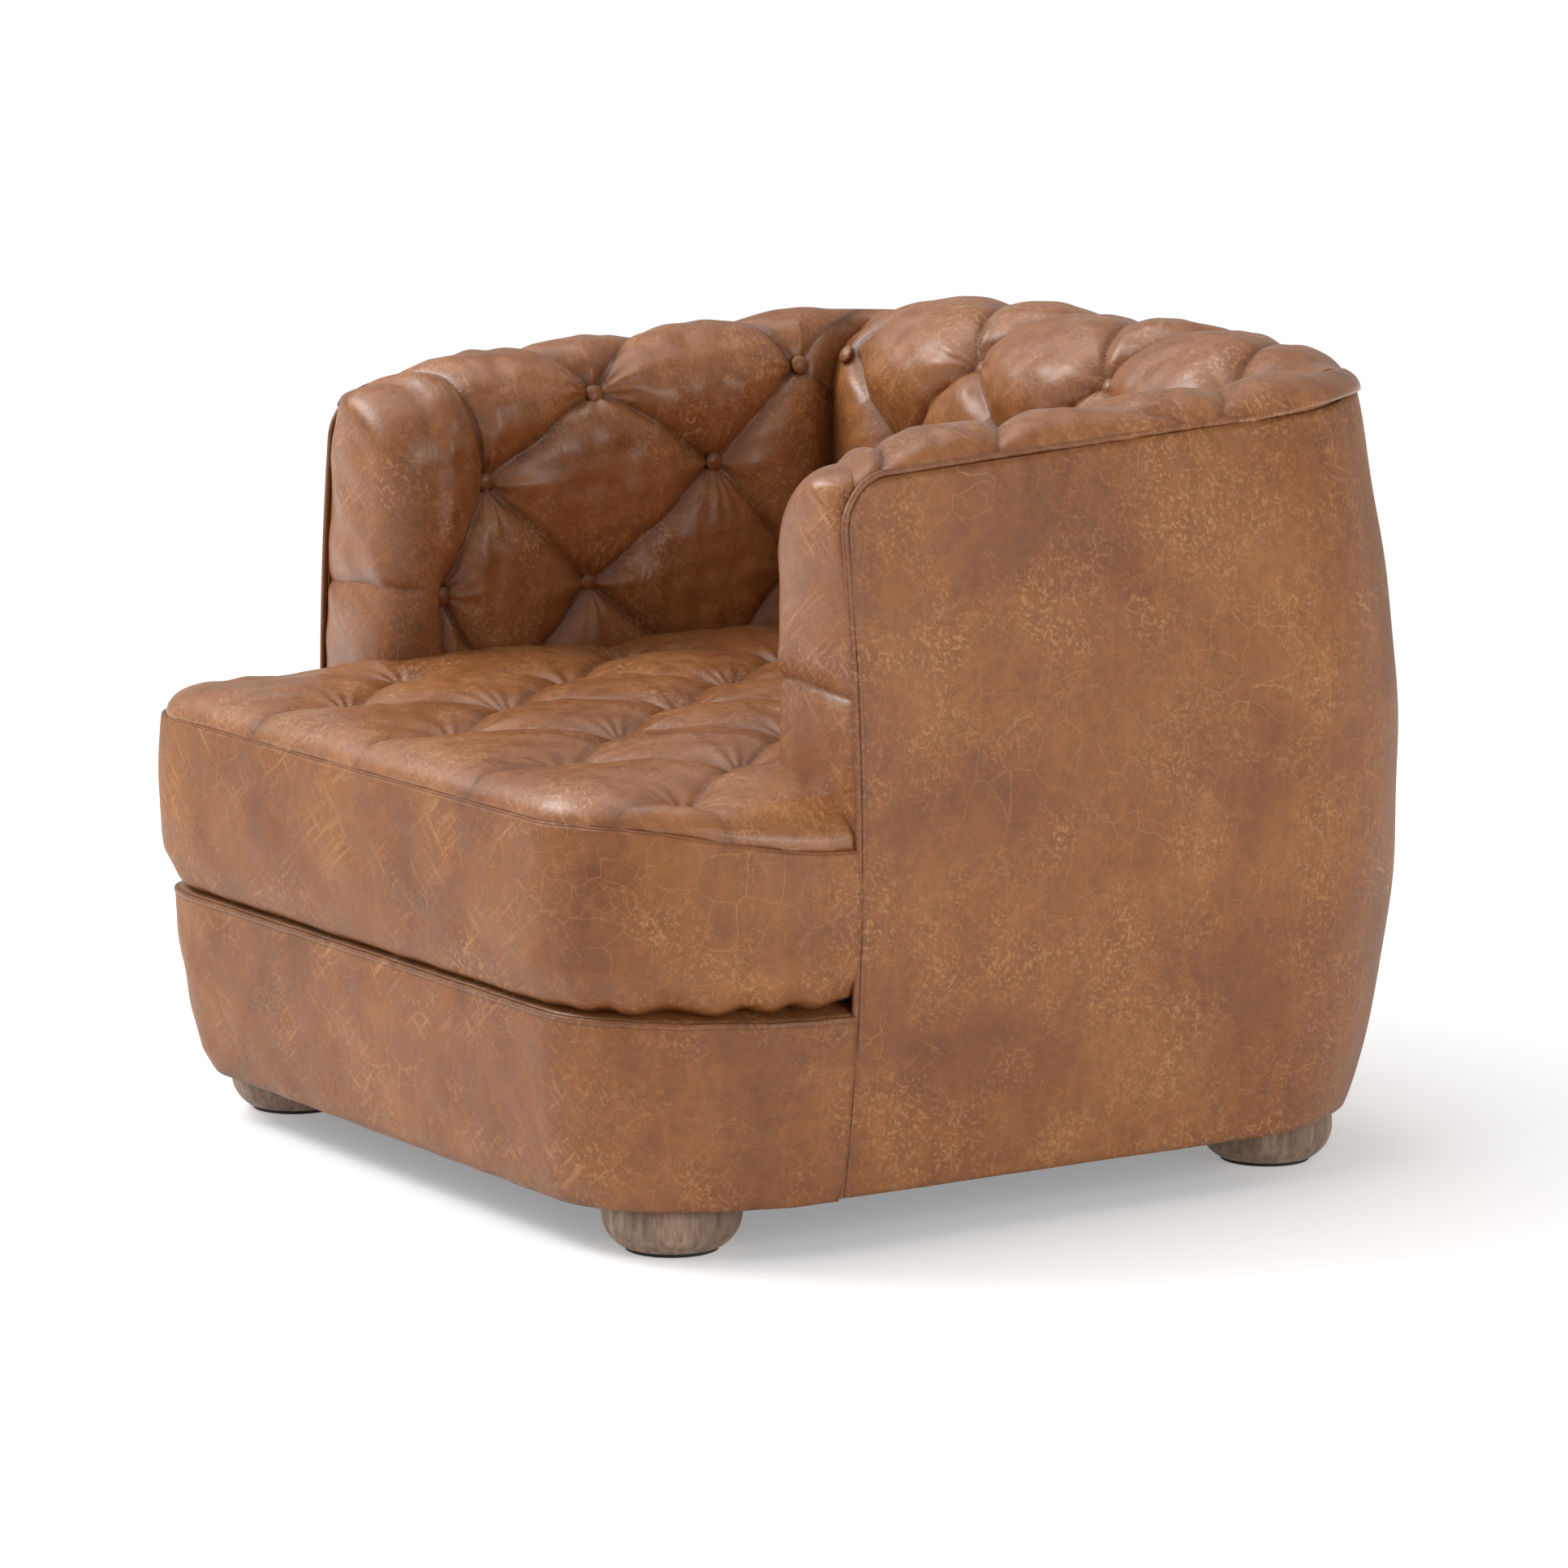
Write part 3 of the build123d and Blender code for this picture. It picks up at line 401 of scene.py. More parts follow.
def arm_roll(side):
    """Front and roll of one arm as one piece, with the roll's points and outward directions."""
    run, inside, outside = arm_stations(ARM_COLS)
    points = np.zeros((ARM_COLS, ARM_ROWS, 3))
    spread = np.zeros((ARM_COLS, ARM_ROWS))
    arc = np.zeros((ARM_COLS, ARM_ROWS))
    for i in range(ARM_COLS):
        crown, pipe = arm_heights(outside[i, 1])
        join = float(soft((run[i] / run[-1] - 0.70) / 0.26))
        crown += join * (CREST_AT_MITRE - crown)
        pipe += join * (PIPE_AT_MITRE - pipe)
        spread[i], points[i, :, 2], arc[i] = arm_section(crown, pipe)
        across = spread[i]
        edge = min(1, run[i] / 0.12)
        points[i, :, :2] = inside[i] + across[:, None] * (outside[i] - inside[i])
        points[i, :, 1] += EDGE_R * (1 - across) * (1 - edge) + TOP_EDGE_R * np.sin(pi * across) * (1 - edge)
    end = arc[:, -1].mean()
    run_grid = np.repeat(run[:, None], ARM_ROWS, axis=1)
    depth, wear_and_shade = tufted(run_grid, arc, ARM_BUTTONS, arm_folds(end), 0.052, 0.019, 0.034, 3)
    fade = soft((end - arc) / 0.045)
    ends = soft(run_grid / 0.032)
    depth = depth * (0.35 + 0.65 * fade) * ends - PUFF * ends * (0.3 + 0.7 * fade)
    before = run[-1] - CREASE_LAP - run_grid
    depth = into_crease(depth, before, spread)
    outward = -normals(points)
    points = points - outward * depth[..., None]
    front, front_wear_and_shade = arm_front()
    whole = np.concatenate([front[:-1], points])
    # Painted shade darkens the leather along the crease with the back.
    wear_and_shade = np.concatenate([front_wear_and_shade[:-1], wear_and_shade - 0.5 * np.exp(-np.abs(before) / CREASE_FADE)])
    if side < 0:
        points, whole, outward = mirrored(points), mirrored(whole), mirrored(outward)
    name = ("right" if side > 0 else "left") + "_arm_roll"
    return grid_mesh(name, whole, wear_and_shade, thick=ROLL_SHEET, flip=side < 0), points, outward


# ------------------------------------------------------------------ back
BACK_COLS, BACK_ROWS = 300, 200
BACK_SHOULDER = 0.085
BACK_TOP_AT = 0.52
BACK_CROWN = BACK_TOP - 0.004
BACK_THICK = rear_depth(BACK_PIPE) - BACK_IN
BACK_PITCH = 0.215             # between buttons of one row
# Button places on the back: (place across, arc length up from the roll's base)
BACK_BUTTONS = [(-0.3225, 0.352), (-0.1075, 0.352), (0.1075, 0.352), (0.3225, 0.352),
                (-BACK_PITCH, 0.243), (0.0, 0.243), (BACK_PITCH, 0.243)]
BACK_HIDDEN = [(-0.1075, 0.135), (0.1075, 0.135)]   # pinches low down, with no button


def back_folds(end):
    """Fold lines between the back's buttons and out to the piping, which lies at arc length end."""
    b = BACK_BUTTONS + BACK_HIDDEN
    folds = [(b[0], b[4]), (b[1], b[4]), (b[1], b[5]), (b[2], b[5]), (b[2], b[6]), (b[3], b[6]),
             (b[4], b[7]), (b[5], b[7]), (b[5], b[8]), (b[6], b[8]),
             (b[7], (-BACK_PITCH, 0.02)), (b[7], (0.0, 0.02)), (b[8], (0.0, 0.02)),
             (b[8], (BACK_PITCH, 0.02)), (b[4], (-0.33, 0.135)), (b[6], (0.33, 0.135))]
    folds += [(b[k], (b[k][0] + d, end)) for k in range(1, 3) for d in (-0.1075, 0.1075)]
    return folds + [(b[0], (b[0][0] + 0.105, end)), (b[3], (b[3][0] - 0.105, end))]


def back_roll():
    """Inside and top of the back as one piece, with its points and outward directions."""
    across_in = np.linspace(-1, 1, BACK_COLS)
    points = np.zeros((BACK_COLS, BACK_ROWS, 3))
    spread = np.zeros((BACK_COLS, BACK_ROWS))
    arc = np.zeros((BACK_COLS, BACK_ROWS))
    seam = float(seam_along(BACK_PIPE))
    middle = float(middle_along(BACK_PIPE))
    for i, share in enumerate(across_in):
        run = middle - abs(share) * (middle - seam + 0.003)
        x_out, y_out = wall_point(np.array([run]), np.array([BACK_PIPE]))
        outer = np.array([np.sign(share) * (x_out[0] - 0.002), y_out[0] - PANEL_GAP])
        scallop = 0.0035 * (sin(pi * (share * (middle - seam)) / BACK_PITCH) ** 2 - 0.5)
        join = float(soft((abs(share) - 0.62) / 0.32))
        crown = (BACK_CROWN + scallop) * (1 - join) + CREST_AT_MITRE * join
        pipe = BACK_PIPE * (1 - join) + PIPE_AT_MITRE * join
        spread[i], points[i, :, 2], arc[i] = section(BACK_THICK, BACK_TOP_AT, ROLL_BASE, BACK_SHOULDER,
                                                     crown, pipe, BACK_ROWS)
        inner = np.array([share * (ARM_IN + CREASE_LAP), BACK_IN])
        points[i, :, :2] = inner + spread[i][:, None] * (outer - inner)
    end = arc.mean(axis=0)[-1]
    place = np.repeat((across_in * (ARM_IN + CREASE_LAP))[:, None], BACK_ROWS, axis=1)
    depth, wear_and_shade = tufted(place, arc, BACK_BUTTONS + BACK_HIDDEN, back_folds(end), 0.056, 0.022, 0.040, 5)
    fade = soft((end - arc) / 0.06)
    depth = depth * (0.4 + 0.6 * fade) - PUFF * (0.3 + 0.7 * fade)
    before = ARM_IN - np.abs(place)
    depth = into_crease(depth, before, spread)
    outward = -normals(points)
    outward = np.where((outward[BACK_COLS // 2, 5, 1] > 0), -outward, outward)
    points = points - outward * depth[..., None]
    # Painted shade darkens the leather along the creases with the arms.
    wear_and_shade = wear_and_shade - 0.5 * np.exp(-np.abs(before) / CREASE_FADE)
    return grid_mesh("back_roll", points, wear_and_shade, thick=ROLL_SHEET), points, outward


# ------------------------------------------------------------------ outside panels
PANEL_ROWS = 110


def outside_panel(name, pipe_line, cols, whole_back=False, mirror=False):
    """A side panel from the arm's front to the rear seam, or the whole back between both seams."""
    share = np.linspace(-1, 1, cols) if whole_back else np.linspace(0, 1, cols) ** 1.5
    v = np.linspace(0, 1, PANEL_ROWS)
    points = np.zeros((cols, PANEL_ROWS, 3))
    for i, p in enumerate(share):
        z = HEM + (pipe_line(p) - HEM) * v
        if whole_back:
            run = middle_along(z) - abs(p) * (middle_along(z) - seam_along(z))
        else:
            run = p * seam_along(z)
        x, y = wall_point(run, z)
        points[i] = np.stack([x * (np.sign(p) if whole_back else 1), y, z], axis=1)
    along = np.repeat(share[:, None], PANEL_ROWS, axis=1)
    height = np.repeat(v[None, :], cols, axis=0)
    out = normals(points)
    centre = cols // 2, PANEL_ROWS // 2
    if np.dot(out[centre], points[centre] * np.array([1, 1, 0])) < 0:
        out = -out
    pucker = np.exp(-(1 - height) * 16) * np.sin(along * 95 + 2 * np.sin(along * 23))
    if whole_back:
        seam_dip = np.exp(-(1 - np.abs(along)) * 42)
    else:
        seam_dip = np.exp(-(1 - along) * 60) + 0.6 * np.exp(-along * 60)
    offset = 0.0016 * ripple(along * 0.6, height * 0.65, 0.16, seed=21) + 0.0007 * pucker - 0.0035 * seam_dip
    offset -= 0.004 * np.exp(-height * 30)
    points = points + out * offset[..., None]
    # Tone varies at random; painted shade darkens the seam dips.
    wear_and_shade = 0.15 + 0.25 * ripple(along * 0.6, height * 0.65, 0.2, seed=33) - 0.5 * seam_dip
    return grid_mesh(name, mirrored(points) if mirror else points, wear_and_shade, thick=PANEL_THICK)


SIDE_RUN = 0.66                # length of a side panel's top edge
RISE_ENDS = 0.72               # share of that edge where its steady rise ends


def arm_pipe_z(p):
    """Height of the arm's piping at a share of the way from the arm's front to the rear seam."""
    return (ARM_PIPE + PIPE_RISE * min(p, RISE_ENDS) * SIDE_RUN + 0.012 * float(soft((p - RISE_ENDS) / 0.28))
            - float(corner_drop(p * SIDE_RUN)))


def back_pipe_z(p):
    """Height of the back's piping, with p from -1 to 1 between the rear seams."""
    return BACK_PIPE + 0.004 * float(soft((abs(p) - 0.6) / 0.4))


# ------------------------------------------------------------------ seat and border
CORNER_ACROSS = 0.150          # the front corners are quarter ellipses that run back to the arms
EAR_DROP = 0.029               # how far the seat's edge comes down at the arms
FRONT_RUN = 1.5                # rough length of the seat's front edge, corners included


def front_path(half, front, step):
    """Plan path from the left arm, round the elliptical front corners to the right arm."""
    across, deep = CORNER_ACROSS * half / HALF, EAR_BACK - front
    a = np.linspace(0, pi / 2, 60)
    left = np.stack([-half + across - across * np.cos(a), EAR_BACK - deep * np.sin(a)], axis=1)
    path = np.vstack([left, left[::-1] * [-1, 1]])
    path = np.hstack([path, np.zeros((len(path), 1))])
    return resample(path, step)[:, :2]


def ear_dip(x, y):
    """The seat's edge comes down round each front corner towards the arm."""
    across = soft((np.abs(x) - (HALF - CORNER_ACROSS)) / CORNER_ACROSS)
    return EAR_DROP * across * soft((y - FRONT) / 0.235)


def skirt(name, levels, rows, swell, seed=2, dip=0.0, gathers=0.0):
    """Upholstered strip round the front: levels give (height, half width, front)."""
    count = len(front_path(levels[0][1], levels[0][2], 0.004))
    v = np.linspace(0, 1, rows)
    t = (np.array([level[0] for level in levels]) - levels[0][0]) / (levels[-1][0] - levels[0][0])
    table = [np.interp(v, t, [level[i] for level in levels]) for i in range(3)]
    points = np.zeros((count, rows, 3))
    for j, (z, half, front) in enumerate(zip(*table)):
        path = front_path(half, front, 0.002)
        stations = np.linspace(0, len(path) - 1, count)
        for axis in range(2):
            points[:, j, axis] = np.interp(stations, range(len(path)), path[:, axis])
        points[:, j, 2] = z
    height = np.repeat(v[None, :], count, axis=0)
    points[..., 2] -= dip * ear_dip(points[..., 0], points[..., 1]) / EAR_DROP * height
    out = points - np.array([0, 0.1, 0])
    out[..., 2] = 0
    out = unit(out)
    face = normals(points)
    face = np.where(np.sum(face * out, axis=-1, keepdims=True) < 0, -face, face)
    flat = np.abs(points[..., 0]) < HALF - CORNER_ACROSS
    corner = np.exp(-((np.abs(points[..., 0]) - (HALF - 0.05)) / 0.07) ** 2)
    length = np.repeat(np.linspace(0, 1, count)[:, None], rows, axis=1) * FRONT_RUN
    puff = swell * np.sin(pi * height) ** 0.7
    puff = puff + 0.0012 * ripple(length, height * 0.18, 0.08, seed=seed) * np.where(flat, 0.6, 1.0)
    pleats = np.sin(length * 95 + height * 5 + np.sin(length * 31))
    puff = puff + gathers * corner * pleats * (1 - height) ** 3
    puff = puff + 0.0016 * corner * np.sin(length * 110 + 2 * np.sin(length * 30)) * height ** 3
    points = points + face * puff[..., None]
    # Tone varies at random; painted shade darkens the strip towards its bottom edge.
    wear_and_shade = 0.2 + 0.2 * ripple(length, height * 0.18, 0.12, seed=seed + 5) - 0.7 * np.exp(-height / 0.06)
    return grid_mesh(name, points, wear_and_shade, thick=PANEL_THICK), points


SEAT_Y_STEPS, SEAT_X_STEPS = 300, 380
SEAT_INSET = 0.002             # the seat top starts this far inside the plan of the seat
SEAT_ROLL = 0.052              # the seat's edge rounds over this width
ARM_BESIDE = 0.72              # share of the seat's mesh that lies between the arms
# Tuft pinches on the seat: rows of (distance behind the front edge, places across)
WIDE_ROW = (-0.300, -0.098, 0.105, 0.308)
NARROW_ROW = (-0.195, 0.005, 0.210)
SEAT_ROWS = [(0.115, (-0.405, -0.195, 0.005, 0.210, 0.405)), (0.235, WIDE_ROW), (0.360, NARROW_ROW),
             (0.485, WIDE_ROW), (0.610, NARROW_ROW), (0.735, WIDE_ROW)]


def seat_folds():
    """Fold lines between neighbouring pinches, and from the front ones over the edge."""
    folds = []
    for near_row, far_row in zip(SEAT_ROWS, SEAT_ROWS[1:]):
        for px in near_row[1]:
            for qx in far_row[1]:
                if abs(px - qx) < 0.14:
                    folds.append(((px, FRONT + near_row[0]), (qx, FRONT + far_row[0])))
    behind, places = SEAT_ROWS[0]
    for px in places:
        folds.append(((px, FRONT + behind), (px + 0.014, FRONT + 0.004)))
    for px in (places[0], places[-1]):
        folds.append(((px, FRONT + behind), (px * 1.16, FRONT + behind + 0.012)))
    return folds


def seat_plan():
    """Plan points of the seat top, and how far each lies inside the seat's free edge."""
    start = FRONT + SEAT_INSET
    y = start + (BACK_IN + 0.014 - FRONT) * np.linspace(0, 1, SEAT_Y_STEPS) ** 1.25
    u = np.linspace(-1, 1, SEAT_X_STEPS)
    deep, centre = EAR_BACK - FRONT - SEAT_INSET, HALF - SEAT_INSET - CORNER_ACROSS
    ahead = np.clip((EAR_BACK - y) / deep, 0, 1)
    narrow = soft((y - EAR_BACK) / 0.055)      # behind the ears the seat narrows inside the arms
    half = centre + CORNER_ACROSS * np.sqrt(1 - ahead ** 2)
    half = half + narrow * (ARM_IN + 0.012 - half)
    half = np.maximum(half, centre)
    inner = ARM_IN - 0.010
    share = np.abs(u)[None, :]
    beyond = np.clip((share - ARM_BESIDE) / (1 - ARM_BESIDE), 0, 1)
    x = np.sign(u)[None, :] * (inner * np.minimum(share / ARM_BESIDE, 1) + (half[:, None] - inner) * beyond)
    yy = np.repeat(y[:, None], SEAT_X_STEPS, axis=1)
    dx = np.clip(np.abs(x) - centre, 0, None) / CORNER_ACROSS
    dy = np.clip(EAR_BACK - yy, 0, None) / deep
    round_up = np.maximum(np.hypot(dx, dy), 1e-6)
    slope = np.maximum(np.hypot(dx / CORNER_ACROSS, dy / deep) / round_up, 1e-3)
    edge = np.clip((1 - round_up) / slope, 0, 0.3)
    edge = np.where(np.abs(x) < centre, yy - SEAT_INSET - FRONT, edge)
    return x, yy, np.clip(edge, 0, None)


def seat_top():
    x, y, edge = seat_plan()
    rise = np.sqrt(1 - (1 - np.clip(edge / SEAT_ROLL, 0, 1)) ** 2)
    crown = rise * (0.034 + 0.010 * soft((y - FRONT) / 0.35))
    pinches = [(px, FRONT + behind) for behind, places in SEAT_ROWS for px in places]
    depth, wear_and_shade = tufted(x, y, pinches, seat_folds(), 0.090, 0.016, 0.032, 8)
    depth = depth * (0.12 + 0.88 * soft(edge / 0.06))
    z = SEAT_SEAM + crown - ear_dip(x, y) - depth
    return grid_mesh("seat_cushion", np.stack([x, y, z], axis=-1), wear_and_shade, thick=0.004)


# ------------------------------------------------------------------ materials
def new_material(name):
    material = bpy.data.materials.new(name)
    material.use_nodes = True
    return material, material.node_tree, material.node_tree.nodes["Principled BSDF"]


def feed(tree, socket, value):
    """Link an output to a socket, or set the socket to a number or a colour."""
    if hasattr(value, "is_output"):
        tree.links.new(value, socket)
    else:
        socket.default_value = (*value, 1) if isinstance(value, tuple) else value


def add(tree, kind, **inputs):
    node = tree.nodes.new(kind)
    for key, value in inputs.items():
        node.inputs[key.replace("_", " ")].default_value = value
    return node


def own_place(tree):
    return tree.nodes.new("ShaderNodeTexCoord").outputs["Object"]


def mapped(tree, place, **inputs):
    node = add(tree, "ShaderNodeMapping", **inputs)
    tree.links.new(place, node.inputs["Vector"])
    return node


def noise(tree, place, output="Fac", **inputs):
    node = add(tree, "ShaderNodeTexNoise", **inputs)
    tree.links.new(place, node.inputs["Vector"])
    return node.outputs[output]


def ramp(tree, fac, stops):
    node = tree.nodes.new("ShaderNodeValToRGB")
    while len(node.color_ramp.elements) < len(stops):
        node.color_ramp.elements.new(0.5)
    for element, (position, colour) in zip(node.color_ramp.elements, stops):
        element.position = position
        element.color = (*colour, 1)
    tree.links.new(fac, node.inputs[0])
    return node.outputs[0]


def mix(tree, kind, fac, a, b):
    node = tree.nodes.new("ShaderNodeMix")
    node.data_type = "RGBA"
    node.blend_type = kind
    for socket, value in ((node.inputs[0], fac), (node.inputs[6], a), (node.inputs[7], b)):
        feed(tree, socket, value)
    return node.outputs[2]


def calculate(tree, operation, *values):
    node = tree.nodes.new("ShaderNodeMath")
    node.operation = operation
    for socket, value in zip(node.inputs, values):
        feed(tree, socket, value)
    return node.outputs[0]


def bump(tree, height, strength, distance, normal=None, invert=False):
    node = add(tree, "ShaderNodeBump", Strength=strength, Distance=distance)
    node.invert = invert
    tree.links.new(height, node.inputs["Height"])
    if normal is not None:
        tree.links.new(normal, node.inputs["Normal"])
    return node.outputs[0]


LEATHER_DARK = (0.110, 0.036, 0.0095)
LEATHER_MID = (0.250, 0.092, 0.0280)
LEATHER_LIGHT = (0.370, 0.160, 0.0560)
LEATHER_SCRATCH = (0.52, 0.285, 0.135)
CRACKLE = ((26.0, 0.014), (60.0, 0.018))   # scale of the cells, width of the lines
CRACKLE_WARP = (0.016, 0.016, 0.016)
# Direction and scale of each family of long scratches
SCRATCH_RUNS = (((0.25, 0.9, 0.3), 210.0), ((1.2, -0.5, 0.8), 250.0), ((-0.75, 0.35, 1.9), 230.0))
SCRATCH_STRETCH = (1.0, 1.0, 16.0)
SCRATCH_STRENGTH = 0.56


def patched(tree, place, line, scale, marks):
    """Keep a pattern of lines only in cloudy patches, and lay it over the marks so far."""
    mask = ramp(tree, noise(tree, place, Scale=scale, Detail=4.0), [(0.42, (0, 0, 0)), (0.70, (1, 1, 1))])
    layer = mix(tree, "MULTIPLY", 1.0, line, mask)
    return layer if marks is None else mix(tree, "LIGHTEN", 1.0, marks, layer)


def scratches(tree, place):
    """Light marks: a crackle along the edges of warped cells and long scratches, all in patches."""
    offset = tree.nodes.new("ShaderNodeVectorMath")
    offset.operation = "MULTIPLY_ADD"
    offset.inputs[1].default_value = CRACKLE_WARP
    warp = noise(tree, place, "Color", Scale=30.0, Detail=6.0, Roughness=0.6)
    tree.links.new(warp, offset.inputs[0])
    tree.links.new(place, offset.inputs[2])
    marks = None
    for scale, width in CRACKLE:
        cells = add(tree, "ShaderNodeTexVoronoi", Scale=scale)
        cells.feature = "DISTANCE_TO_EDGE"
        tree.links.new(offset.outputs[0], cells.inputs["Vector"])
        line = ramp(tree, cells.outputs["Distance"], [(0.0, (1, 1, 1)), (width, (0, 0, 0))])
        marks = patched(tree, place, line, scale * 0.30, marks)
    # Noise drawn out in three directions, kept where it peaks
    for turn, scale in SCRATCH_RUNS:
        drawn = mapped(tree, place, Rotation=turn, Scale=SCRATCH_STRETCH)
        drawn.vector_type = "TEXTURE"
        level = noise(tree, drawn.outputs[0], Scale=scale, Detail=2.0, Roughness=0.5)
        line = ramp(tree, level, [(0.59, (0, 0, 0)), (0.67, (1, 1, 1))])
        marks = patched(tree, place, line, 14.0, marks)
    return marks


def leather_bump(tree, place, marks):
    """Pebbled grain, soft creases and the scratches, cut slightly into the surface."""
    grain = add(tree, "ShaderNodeTexVoronoi", Scale=620.0)
    tree.links.new(place, grain.inputs["Vector"])
    creases = noise(tree, place, Scale=110.0, Detail=8.0, Roughness=0.65)
    fine = bump(tree, grain.outputs["Distance"], 0.16, 0.0006)
    broad = bump(tree, creases, 0.30, 0.0016, fine)
    return bump(tree, marks, 0.12, 0.0008, broad, invert=True)


def leather(name, tone=(1.0, 1.0, 1.0), rough=0.40, coat=0.06):
    """Pull-up leather: cloudy colour, light marks, fine grain, paler where it is rubbed, darker with painted
    shade in folds, seams and creases.
    """
    material, tree, shader = new_material(name)
    place = own_place(tree)
    cloud = noise(tree, place, Scale=7.0, Detail=7.0, Roughness=0.62, Distortion=0.6)
    blotch = noise(tree, place, Scale=58.0, Detail=7.0, Roughness=0.68, Distortion=0.8)
    drawn = mapped(tree, place, Scale=(1.0, 1.0, 0.28)).outputs[0]
    streaks = noise(tree, drawn, Scale=60.0, Detail=4.0, Roughness=0.6)
    marks = scratches(tree, place)
    # This attribute holds both the rubbed places and the painted shade.
    attribute = tree.nodes.new("ShaderNodeAttribute")
    attribute.attribute_name = "wear_and_shade"
    wear_and_shade = attribute.outputs["Fac"]
    dark, mid, light, scratch = (tuple(c * t for c, t in zip(shade, tone))
                                 for shade in (LEATHER_DARK, LEATHER_MID, LEATHER_LIGHT, LEATHER_SCRATCH))
    # The base colour also shifts a little with the rubbing and the painted shade.
    colour = ramp(tree, calculate(tree, "MULTIPLY_ADD", wear_and_shade, 0.10, cloud),
                  [(0.06, dark), (0.50, mid), (0.94, light)])
    patch = ramp(tree, blotch, [(0.34, (0.74, 0.71, 0.68)), (0.64, (1.10, 1.09, 1.08))])
    colour = mix(tree, "MULTIPLY", 0.80, colour, patch)
    fibre = ramp(tree, streaks, [(0.35, (0.86, 0.84, 0.82)), (0.70, (1.06, 1.06, 1.06))])
    colour = mix(tree, "MULTIPLY", 0.6, colour, fibre)
    colour = mix(tree, "MIX", calculate(tree, "MULTIPLY", marks, SCRATCH_STRENGTH), colour, scratch)
    # Rubbed tops are paler; painted shade darkens the folds, seams and creases
    rub_and_shade = ramp(tree, calculate(tree, "MULTIPLY_ADD", wear_and_shade, 0.5, 0.5),
               [(0.0, (0.42, 0.36, 0.32)), (0.35, (0.90, 0.88, 0.86)), (0.75, (1.10, 1.09, 1.08))])
    feed(tree, shader.inputs["Base Color"], mix(tree, "MULTIPLY", 0.8, colour, rub_and_shade))
    gloss = ramp(tree, blotch, [(0.3, (rough - 0.05,) * 3), (0.7, (rough + 0.11,) * 3)])
    feed(tree, shader.inputs["Roughness"], gloss)
    feed(tree, shader.inputs["Specular IOR Level"], 0.42)
    feed(tree, shader.inputs["Coat Weight"], coat)
    feed(tree, shader.inputs["Coat Roughness"], 0.30)
    feed(tree, shader.inputs["Normal"], leather_bump(tree, place, marks))
    return material


def wood(name, dark, mid, light, rough=0.55, scale=1.0):
    """Straight grain that runs up and down, with pores and broad darker and lighter bands."""
    material, tree, shader = new_material(name)
    drawn = mapped(tree, own_place(tree), Scale=(1.0, 1.0, 0.16)).outputs[0]
    grain = noise(tree, drawn, Scale=150.0 * scale, Detail=9.0, Roughness=0.68, Distortion=0.4)
    bands = noise(tree, drawn, Scale=30.0 * scale, Detail=4.0)
    colour = ramp(tree, grain, [(0.32, dark), (0.5, mid), (0.68, light)])
    shade = ramp(tree, bands, [(0.35, (0.72, 0.72, 0.72)), (0.65, (1.1, 1.1, 1.1))])
    feed(tree, shader.inputs["Base Color"], mix(tree, "MULTIPLY", 0.8, colour, shade))
    gloss = ramp(tree, grain, [(0.3, (rough + 0.12,) * 3), (0.7, (rough - 0.08,) * 3)])
    feed(tree, shader.inputs["Roughness"], gloss)
    feed(tree, shader.inputs["Normal"], bump(tree, grain, 0.35, 0.0008))
    return material


def plain_surface(name, low, high, scale, rough, metal=0.0):
    """Fine woven, foamed or metal surface: two colours in a fine noise with a matching bump."""
    material, tree, shader = new_material(name)
    level = noise(tree, own_place(tree), Scale=scale, Detail=6.0)
    feed(tree, shader.inputs["Base Color"], ramp(tree, level, [(0.35, low), (0.65, high)]))
    feed(tree, shader.inputs["Roughness"], rough)
    feed(tree, shader.inputs["Metallic"], metal)
    feed(tree, shader.inputs["Normal"], bump(tree, level, 0.4, 0.0004))
    return material


COVER = leather("leather_cover", tone=(0.92, 0.90, 0.86), rough=0.34, coat=0.28)
SHELL = leather("leather_shell", tone=(0.87, 0.82, 0.64), rough=0.50, coat=0.0)
TRIM = leather("leather_trim", tone=(0.78, 0.73, 0.62))
BUTTON = leather("leather_button", tone=(0.80, 0.76, 0.70), rough=0.34, coat=0.2)
THREAD = plain_surface("thread", (0.30, 0.17, 0.075), (0.46, 0.29, 0.14), 900, 0.7)
FOOT_WOOD = wood("foot_wood", (0.130, 0.075, 0.045), (0.225, 0.138, 0.088), (0.32, 0.215, 0.145))
FRAME_WOOD = wood("frame_wood", (0.30, 0.19, 0.10), (0.48, 0.33, 0.19), (0.60, 0.44, 0.27), 0.7, 0.6)
BLACK_CLOTH = plain_surface("dust_cloth", (0.010, 0.010, 0.011), (0.030, 0.030, 0.032), 1400, 0.95)
DECK_CLOTH = plain_surface("deck_cloth", (0.36, 0.31, 0.23), (0.55, 0.50, 0.40), 1200, 0.95)
FOAM = plain_surface("foam", (0.72, 0.66, 0.50), (0.86, 0.81, 0.66), 900, 0.95)
STEEL = plain_surface("spring_steel", (0.20, 0.20, 0.21), (0.42, 0.42, 0.43), 400, 0.38, 1.0)
GLIDE = plain_surface("glide", (0.012, 0.012, 0.012), (0.035, 0.034, 0.033), 900, 0.85)
SLOT_MATERIAL = {"leather": COVER, "leather_trim": TRIM, "leather_buttons": BUTTON, "foot_wood": FOOT_WOOD,
                 "frame_wood": FRAME_WOOD, "dust_cloth": BLACK_CLOTH, "deck_cloth": DECK_CLOTH, "foam": FOAM,
                 "spring_steel": STEEL, "zinc_steel": STEEL, "glide": GLIDE}


def finish(piece, material, slot, *replaced):
    piece.data.materials.clear()
    piece.data.materials.append(material)
    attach(piece, "root")
    if replaced:
        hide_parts(*replaced)


